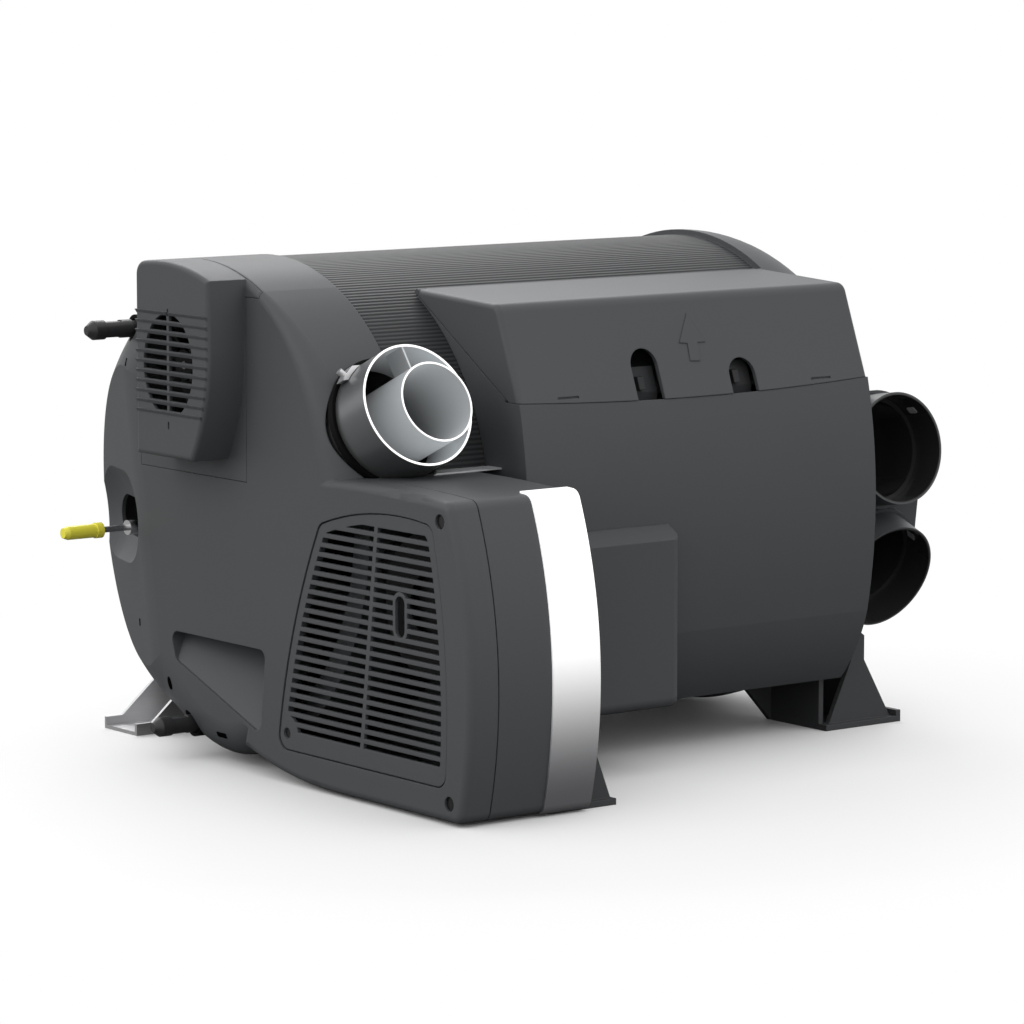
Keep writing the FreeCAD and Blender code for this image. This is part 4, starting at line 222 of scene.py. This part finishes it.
plasticShared = {"roughSpread": 0.08}
plastics = {
    "satinGrey": {
        "color": (0.082, 0.0860, 0.0905), "spread": 0.06, "rough": 0.46,
        "shine": 0.2, "grain": 1400.0, "bump": 0.12,
        "worn": ["end_cap", "fan_cover", "burner_grille", "burner_housing", "air_hood",
                 "electronics_housing", "electronics_lid", "cable_cover"]},
    # the latches wear the satin plastic painted darker, as painted shade for the shadow they sit in
    "shadedLatchGrey": {
        "color": (0.030, 0.031, 0.033), "spread": 0.06, "rough": 0.5,
        "shine": 0.2, "grain": 1400.0, "bump": 0.1,
        "worn": ["lid_latch_left", "lid_latch_right"]},
    # near black, matt and without shine: painted shade for holes and slots
    "paintedHoleShade": {
        "color": (0.002, 0.002, 0.002), "spread": 0.1, "rough": 0.9,
        "shine": 0.0, "grain": 500.0, "bump": 0.0,
        "worn": []},  # only the painted shade of the cap's slots and hole wears it
    "footBlack": {
        "color": (0.052, 0.054, 0.057), "spread": 0.08, "rough": 0.5,
        "shine": 0.4, "grain": 1000.0, "bump": 0.12,
        "worn": ["front_foot", "right_foot"]},
    "glossBlack": {
        "color": (0.012, 0.012, 0.013), "spread": 0.1, "rough": 0.22,
        "shine": 0.5, "grain": 600.0, "bump": 0.04,
        "worn": ["end_screws"]},
    "innerBlack": {
        "color": (0.010, 0.010, 0.011), "spread": 0.15, "rough": 0.6,
        "shine": 0.3, "grain": 500.0, "bump": 0.1,
        "worn": ["blower_housing", "blower_impeller", "air_duct", "fan_impeller", "fan_carrier", "relay",
                 "terminal_block"]},
    "softRubber": {
        "color": (0.004, 0.004, 0.004), "spread": 0.15, "rough": 0.6,
        "shine": 0.08, "grain": 800.0, "bump": 0.15,
        "worn": ["flue_seal", "water_seals"]},
    "stubBlack": {
        "color": (0.032, 0.032, 0.034), "spread": 0.1, "rough": 0.42,
        "shine": 0.45, "grain": 900.0, "bump": 0.1,
        "worn": ["hot_water_stub", "cold_water_stub"]},
    "capYellow": {
        "color": (0.96, 0.88, 0.08), "spread": 0.06, "rough": 0.32,
        "shine": 0.5, "grain": 500.0, "bump": 0.05,
        "worn": ["fuel_cap"]},
    "boardGreen": {
        "color": (0.012, 0.075, 0.03), "spread": 0.2, "rough": 0.4,
        "shine": 0.5, "grain": 300.0, "bump": 0.1,
        "worn": ["circuit_board"]}}
for name, look in plastics.items():
    materials[name] = plasticMaterial(name, {**plasticShared, **look})
    dress(look["worn"], materials[name])


def metalMaterial(name, look):
    material, tree, surface = newMaterial(name)
    brush = addNode(tree, "ShaderNodeGroup", {"node_tree": brushGroup},
                    Stretch=look["stretch"], Bump=look["bump"])
    tone = mixTones(tree, brush.outputs["Mark"], *shades(look["color"], look["spread"]))
    rough = spreadRough(tree, brush.outputs["Mark"], look)
    feedInputs(tree, surface, Base_Color=tone, Roughness=rough, Normal=brush.outputs["Normal"],
               Metallic=look["metal"])
    return material


metalShared = {"roughSpread": 0.12}
metals = {
    "castAluminium": {
        "color": (0.62, 0.63, 0.64), "spread": 0.04, "rough": 0.42,
        "metal": 0.45, "stretch": (200.0, 200.0, 200.0), "bump": 0.03,
        "worn": ["flue_webs", "heat_shield"]},
    "footSteel": {
        "color": (0.68, 0.68, 0.69), "spread": 0.06, "rough": 0.32,
        "metal": 0.8, "stretch": (60.0, 900.0, 900.0), "bump": 0.06,
        "worn": ["left_foot", "flue_screw", "flue_clamp"]},
    "brightSteel": {
        "color": (0.90, 0.90, 0.90), "spread": 0.03, "rough": 0.16,
        "metal": 1.0, "stretch": (400.0, 400.0, 400.0), "bump": 0.02,
        "worn": ["fuel_union"]},
    "plainSteel": {
        "color": (0.42, 0.42, 0.43), "spread": 0.08, "rough": 0.38,
        "metal": 1.0, "stretch": (400.0, 400.0, 400.0), "bump": 0.08,
        "worn": ["lid_hinge_pins", "board_screws", "bulkhead", "water_tank", "hot_water_pipe",
                 "cold_water_pipe", "combustion_tube", "exhaust_elbow", "blower_motor", "fan_motor",
                 "glow_plug", "fuel_pipe", "water_sensor", "capacitor", "burner_head"]},
    "darkFins": {
        "color": (0.10, 0.10, 0.10), "spread": 0.2, "rough": 0.5,
        "metal": 1.0, "stretch": (200.0, 200.0, 200.0), "bump": 0.05,
        "worn": ["heat_exchanger"]}}
for name, look in metals.items():
    materials[name] = metalMaterial(name, {**metalShared, **look})
    dress(look["worn"], materials[name])


def ribbedMaterial(name, look):
    # grooves painted darker than the paler ribs, as painted shade between them
    material, tree, surface = newMaterial(name)
    ribs = addNode(tree, "ShaderNodeGroup", {"node_tree": ribGroup}, Count=look["count"])
    tone = mixTones(tree, ribs.outputs["Height"], look["groove"], look["color"])
    feedInputs(tree, surface, Base_Color=tone, Normal=ribs.outputs["Normal"], Roughness=look["rough"],
               Specular_IOR_Level=look["shine"])
    return material


# the groove colour is painted shade between the ribs
ribLook = {"count": 314.0, "color": (0.050, 0.052, 0.055), "groove": (0.022, 0.023, 0.024),
           "rough": 0.5, "shine": 0.2}
dress(["drum_jacket"], ribbedMaterial("ribbedGrey", ribLook))


def rimmedMaterial(name, look):
    # satin metal with painted shade outside, a painted glow inside that grows towards its end, and a
    # painted highlight on the end rim, which also glows; the rim is found by its reach along the flue
    material, tree, surface = newMaterial(name)
    point = objectPoint(tree)
    axis = radial(look["angle"])
    rimReach = look["reach"] / mmPerMetre
    arm = addVectorMath(tree, "SUBTRACT", point, place(0.0, 0.0, 0.0))
    reach = addVectorMath(tree, "DOT_PRODUCT", arm, axis)
    rim = addMath(tree, "GREATER_THAN", reach, rimReach)
    far = axisDistance(tree, point, look["u"], axis)
    within = addMath(tree, "LESS_THAN", far, look["inside"] / mmPerMetre)
    depth = smoothRise(tree, reach, look["dark"] / mmPerMetre, rimReach)
    soft = addMath(tree, "MULTIPLY", addMath(tree, "MULTIPLY", within, depth), look["soft"])
    glow = addMath(tree, "MAXIMUM", addMath(tree, "MULTIPLY", rim, look["glow"]), soft)
    wall = mixTones(tree, within, look["outer"], look["color"])
    feedInputs(tree, surface, Base_Color=mixTones(tree, rim, wall, look["rim"]),
               Emission_Color=mixTones(tree, rim, look["color"], look["rim"]), Emission_Strength=glow,
               Metallic=look["metal"], Roughness=look["rough"])
    return material


# u, reach, inside and dark are in millimetres; dark is the reach at which the painted soft glow begins
# the outside colour is painted shade and the rim colour a painted highlight; glow and soft set the painted
# glow of rim and inside
flueLook = {"angle": 24.0, "u": 46.0, "dark": 135.0, "glow": 0.4, "metal": 0.75, "rough": 0.32,
            "color": (0.63, 0.655, 0.67), "outer": (0.20, 0.205, 0.21), "rim": (0.95, 0.95, 0.95)}
flueForms = {"flue_collar": {"reach": 195.6, "inside": 39.0, "soft": 0.2},
             "exhaust_pipe": {"reach": 199.6, "inside": 60.0, "soft": 0.3}}
for node, form in flueForms.items():
    dress([node], rimmedMaterial(node, {**flueLook, **form}))


def bandMaterial(name, look):
    # strip with a painted reflection, bright and glowing at the top, that fades to grey painted shade
    # towards its foot, with fine upright grain
    material, tree, surface = newMaterial(name)
    brush = addNode(tree, "ShaderNodeGroup", {"node_tree": brushGroup},
                    Stretch=look["stretch"], Bump=look["bump"])
    axes = addNode(tree, "ShaderNodeSeparateXYZ", Vector=objectPoint(tree))
    fade = smoothRise(tree, axes.outputs["Z"], look["low"], look["high"])
    tone = mixTones(tree, fade, look["foot"], look["color"])
    glow = addMath(tree, "MULTIPLY", fade, look["glow"])
    feedInputs(tree, surface, Base_Color=tone, Emission_Color=tone, Emission_Strength=glow,
               Normal=brush.outputs["Normal"], Metallic=look["metal"], Roughness=look["rough"])
    return material


# low and high are heights above the floor in metres
# the bright colour and its glow are a painted reflection, the foot colour painted shade
bandLook = {"color": (0.95, 0.95, 0.95), "foot": (0.18, 0.18, 0.19), "low": 0.01, "high": 0.12,
            "glow": 0.6, "metal": 0.2, "rough": 0.35, "stretch": (900.0, 900.0, 30.0), "bump": 0.05}
dress(["trim_band"], bandMaterial("brightBand", bandLook))


def outletMaterial(name, look):
    # the bore is told from the outside by its distance from the outlet's axis
    material, tree, surface = newMaterial(name)
    far = axisDistance(tree, objectPoint(tree), look["u"], radial(look["angle"]))
    outside = addMath(tree, "GREATER_THAN", far, look["edge"] / mmPerMetre)
    tone = mixTones(tree, outside, look["inner"], look["color"])
    rough = scaleAndShift(tree, outside, look["rough"] - look["innerRough"], look["innerRough"])
    feedInputs(tree, surface, Base_Color=tone, Roughness=rough, Specular_IOR_Level=look["shine"])
    return material


# u and edge are in millimetres, angles in degrees above the front
outletLook = {"u": 456.0, "edge": 37.0, "color": (0.070, 0.0740, 0.0785), "inner": (0.026, 0.026, 0.027),
              "rough": 0.42, "innerRough": 0.2, "shine": 0.45}
outletAngles = {"outlet_upper_front": 7.8, "outlet_lower_front": -22.6,
                "outlet_upper_rear": 172.2, "outlet_lower_rear": 202.6}
for node, angle in outletAngles.items():
    dress([node], outletMaterial(node, {**outletLook, "angle": angle}))
print("materials set")


# Small details on the skin, in millimetres

def oval(width, height, count=24):
    # points of an ellipse: half width times cosine, half height times sine of the turn
    turn = np.linspace(0.0, 2 * math.pi, count, endpoint=False)
    return np.stack([width / 2 * np.cos(turn), height / 2 * np.sin(turn)], axis=1)


def bar(width, height, power=8.0, count=32):
    # points of a rounded oblong: cosine and sine of the turn, each raised to two over the power
    turn = np.linspace(0.0, 2 * math.pi, count, endpoint=False) + math.pi / count
    side = np.sign(np.cos(turn)) * np.abs(np.cos(turn)) ** (2 / power)
    rise = np.sign(np.sin(turn)) * np.abs(np.sin(turn)) ** (2 / power)
    return np.stack([width / 2 * side, height / 2 * rise], axis=1)


def makePlates(name, plates, look):
    # each plate is an outline in the plane of its skin, carried along the normal from below the skin to
    # just above it: middle, plus outline in the plane, plus level times normal
    rings = []
    faces = []
    first = 0
    for plate in plates:
        normal = Vector(plate["normal"]).normalized()
        along = Vector(plate["along"])
        along = (along - normal * along.dot(normal)).normalized()
        plane = np.array([along, normal.cross(along)]) / mmPerMetre
        ring = np.array(place(*plate["at"])) + plate["outline"] @ plane
        for level in (look["rise"], -look["sink"]):
            rings.append(ring + np.array(normal) * level / mmPerMetre)
        count = len(ring)
        top = first + np.arange(count)
        bottom = top + count
        sides = np.stack([bottom, np.roll(bottom, -1), np.roll(top, -1), top], axis=1)
        faces.extend([top.tolist(), bottom[::-1].tolist(), *sides.tolist()])
        first = first + 2 * count
    mesh = bpy.data.meshes.new(name)
    mesh.from_pydata(np.concatenate(rings).tolist(), [], faces)
    mesh.update()
    piece = bpy.data.objects.new(name, mesh)
    bpy.context.scene.collection.objects.link(piece)
    mesh.materials.append(materials[look["material"]])
    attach(piece, look["body"])


toFront = (0, -1, 0)
alongDrum = (1, 0, 0)

# black plates of painted shade for the dark slots and the hole in the rim of the end cap
capHoleShades = [
    {"at": (2.6, 87.8, 88.4), "normal": (-0.95, 0.22, 0.23), "along": toFront,
     "outline": bar(1.2, 5.4)},
    {"at": (8.7, 83.5, -85.0), "normal": (-0.95, 0.30, -0.05), "along": toFront,
     "outline": bar(2.0, 4.8)},
    {"at": (2.1, 37.6, -119.2), "normal": (-0.97, 0.13, -0.21), "along": toFront,
     "outline": oval(5.4, 9.0)},
    {"at": (2.0, -23.5, -145.2), "normal": (-0.91, 0.03, -0.41), "along": toFront,
     "outline": bar(11.0, 3.6)}]
makePlates("capHoleShades", capHoleShades, {"rise": 0.25, "sink": 1.0, "material": "paintedHoleShade",
                                  "body": "heater", "slot": "inner_plastic"})

# the arrow on the lid, as pairs of u and w; w over the normal's front part lies in the lid's plane
lidFront = {"u": 264.0, "v": -181.0, "w": 106.0, "normal": (0.0, -0.934, 0.358)}
arrowCorners = np.array([(264.9, 125.0), (253.4, 106.7), (259.9, 106.0), (259.1, 95.0),
                         (267.3, 94.6), (268.4, 106.2), (275.0, 106.2)])
arrowMiddle = (lidFront["u"], lidFront["w"])
arrowRing = (arrowCorners - arrowMiddle) / (1.0, -lidFront["normal"][1])
lidArrow = [{"at": (lidFront["u"], lidFront["v"], lidFront["w"]), "normal": lidFront["normal"],
             "along": alongDrum, "outline": arrowRing}]
makePlates("lidArrow", lidArrow, {"rise": 0.6, "sink": 0.6, "material": "satinGrey",
                                  "body": "lid", "slot": "housing_plastic"})

# a bright tab in the mouth of each front outlet
tabOutline = bar(7.0, 5.5)
outletTabs = [
    {"at": (482.3, -152.5, 46.0), "normal": (-0.72, -0.09, -0.69), "along": (0, -0.99, 0.13),
     "outline": tabOutline},
    {"at": (486.6, -148.1, -40.8), "normal": (-0.86, 0.20, -0.47), "along": (0, -0.92, -0.39),
     "outline": tabOutline}]
makePlates("outletTabs", outletTabs, {"rise": 0.5, "sink": 0.8, "material": "castAluminium",
                                      "body": "heater", "slot": "steel"})

# the screw head in the burner grille
grilleScrew = [
    {"at": (1.9, -100.0, -133.0), "normal": (-1, 0, 0), "along": toFront, "outline": oval(6.2, 6.2)}]
makePlates("grilleScrew", grilleScrew, {"rise": 0.0, "sink": 0.6, "material": "glossBlack",
                                        "body": "heater", "slot": "steel"})
print("details set")


# Stage: pale floor, soft lamps and the camera

def makeFloor(look):
    # the camera sees a pale floor, white away from the object; nearer, part of that white is a painted glow
    # where nothing shelters it, which leaves painted shade on the sheltered floor under the object;
    # reflections get a little of that white, and other light finds a dark floor
    half = look["half"]
    corners = [(-half, -half, 0), (half, -half, 0), (half, half, 0), (-half, half, 0)]
    mesh = bpy.data.meshes.new("floor")
    mesh.from_pydata(corners, [], [(0, 1, 2, 3)])
    floor = bpy.data.objects.new("floor", mesh)
    bpy.context.scene.collection.objects.link(floor)
    material, tree, surface = newMaterial("paleFloor")
    path = tree.nodes.new("ShaderNodeLightPath")
    point = objectPoint(tree)
    noise = addNode(tree, "ShaderNodeTexNoise", Vector=point, Scale=look["noise"], Detail=look["detail"])
    pale = mixTones(tree, noise.outputs["Fac"], *shades(look["color"], look["spread"]))
    tone = mixTones(tree, path.outputs["Is Camera Ray"], look["bounce"], pale)
    feedInputs(tree, surface, Base_Color=tone, Roughness=look["rough"], Specular_IOR_Level=look["shine"])
    scaled = addVectorMath(tree, "DIVIDE", point, (look["wide"], look["deep"], 1.0))  # the floor is flat
    fade = smoothRise(tree, addVectorMath(tree, "LENGTH", scaled), look["near"], look["far"])
    # the shelter cuts the painted white glow under and beside the object, which leaves painted shade there
    shelter = addNode(tree, "ShaderNodeAmbientOcclusion", {"samples": look["samples"]},
                      Distance=look["shelter"])
    unsheltered = addMath(tree, "POWER", shelter.outputs["AO"], look["power"])
    paintedLift = addMath(tree, "MULTIPLY", unsheltered, look["lift"])
    mirrored = addMath(tree, "MULTIPLY", path.outputs["Is Glossy Ray"], look["mirrored"])
    seen = addMath(tree, "MAXIMUM", path.outputs["Is Camera Ray"], mirrored)
    share = addMath(tree, "MULTIPLY", seen, addMath(tree, "MAXIMUM", fade, paintedLift))
    white = addNode(tree, "ShaderNodeEmission", Strength=look["glow"], Color=(*look["white"], opaque))
    mix = tree.nodes.new("ShaderNodeMixShader")
    for value, socket in zip((share, surface.outputs[0], white.outputs[0]), mix.inputs):
        feed(tree, value, socket)
    feedInputs(tree, tree.nodes["Material Output"], Surface=mix.outputs[0])
    mesh.materials.append(material)


def makeLamp(name, look):
    data = bpy.data.lights.new(name, "AREA")
    data.shape = "RECTANGLE"
    data.size, data.size_y = look["size"]
    data.energy = look["power"]
    lamp = bpy.data.objects.new(name, data)
    lamp.location = look["from"]
    aim = Vector(look["to"]) - Vector(look["from"])
    lamp.rotation_euler = aim.to_track_quat("-Z", "Y").to_euler()
    lamp.visible_camera = False
    bpy.context.scene.collection.objects.link(lamp)


def makeWorld(look):
    # full white for the camera and in reflections, a little less as plain light
    world = bpy.data.worlds.new("studio")
    bpy.context.scene.world = world
    world.use_nodes = True
    tree = world.node_tree
    tree.nodes.clear()
    path = tree.nodes.new("ShaderNodeLightPath")
    seen = addMath(tree, "MAXIMUM", path.outputs["Is Camera Ray"], path.outputs["Is Glossy Ray"])
    level = addMath(tree, "MAXIMUM", seen, look["ambient"])
    light = addNode(tree, "ShaderNodeBackground", Color=(*look["color"], opaque), Strength=level)
    addNode(tree, "ShaderNodeOutputWorld", Surface=light.outputs[0])


def makeCamera(look):
    data = bpy.data.cameras.new("photoCamera")
    data.sensor_width = look["sensor"]
    data.lens = look["lens"]
    data.clip_end = look["clip"]
    camera = bpy.data.objects.new("photoCamera", data)
    forward = Vector(look["forward"]).normalized()
    right = Vector(look["right"]).normalized()
    up = right.cross(forward)
    turn = Matrix((right, up, -forward)).transposed().to_4x4()
    camera.matrix_world = Matrix.Translation(Vector(look["at"])) @ turn
    bpy.context.scene.collection.objects.link(camera)
    bpy.context.scene.camera = camera


# lengths are in metres, lamps in watts; near and far count in wide and deep
makeFloor({"half": 12.0, "color": (0.86, 0.86, 0.86), "spread": 0.01, "noise": 3.0, "detail": 2.0,
           "bounce": (0.12, 0.12, 0.12), "rough": 0.6, "shine": 0.2, "white": (1.0, 1.0, 1.0), "glow": 1.0,
           "wide": 0.36, "deep": 0.34, "near": 0.8, "far": 2.0,
           "shelter": 0.12, "samples": 8, "power": 1.2, "lift": 0.5, "mirrored": 0.1})
makeWorld({"color": (1.0, 1.0, 1.0), "ambient": 0.98})
lamps = {
    "rearSoftbox": {"from": (0.8, 2.2, 2.0), "to": (0.0, 0.0, 0.3), "size": (2.0, 1.2), "power": 30.0},
    "leftSoftbox": {"from": (-2.3, 0.5, 1.4), "to": (-0.1, 0.0, 0.2), "size": (1.4, 1.8), "power": 14.0},
    "frontSoftbox": {"from": (1.0, -2.4, 2.2), "to": (0.0, -0.1, 0.25), "size": (1.8, 1.6), "power": 6.0}}
for name, look in lamps.items():
    makeLamp(name, look)
makeCamera({"sensor": 36.0, "lens": 161.72, "clip": 50.0, "at": (-1.85225, -2.4081, 0.5448),
            "forward": (0.60100, 0.78892, -0.12810), "right": (0.79547, -0.60599, 0.0)})
bpy.context.scene.view_settings.view_transform = "Standard"
print("stage set")
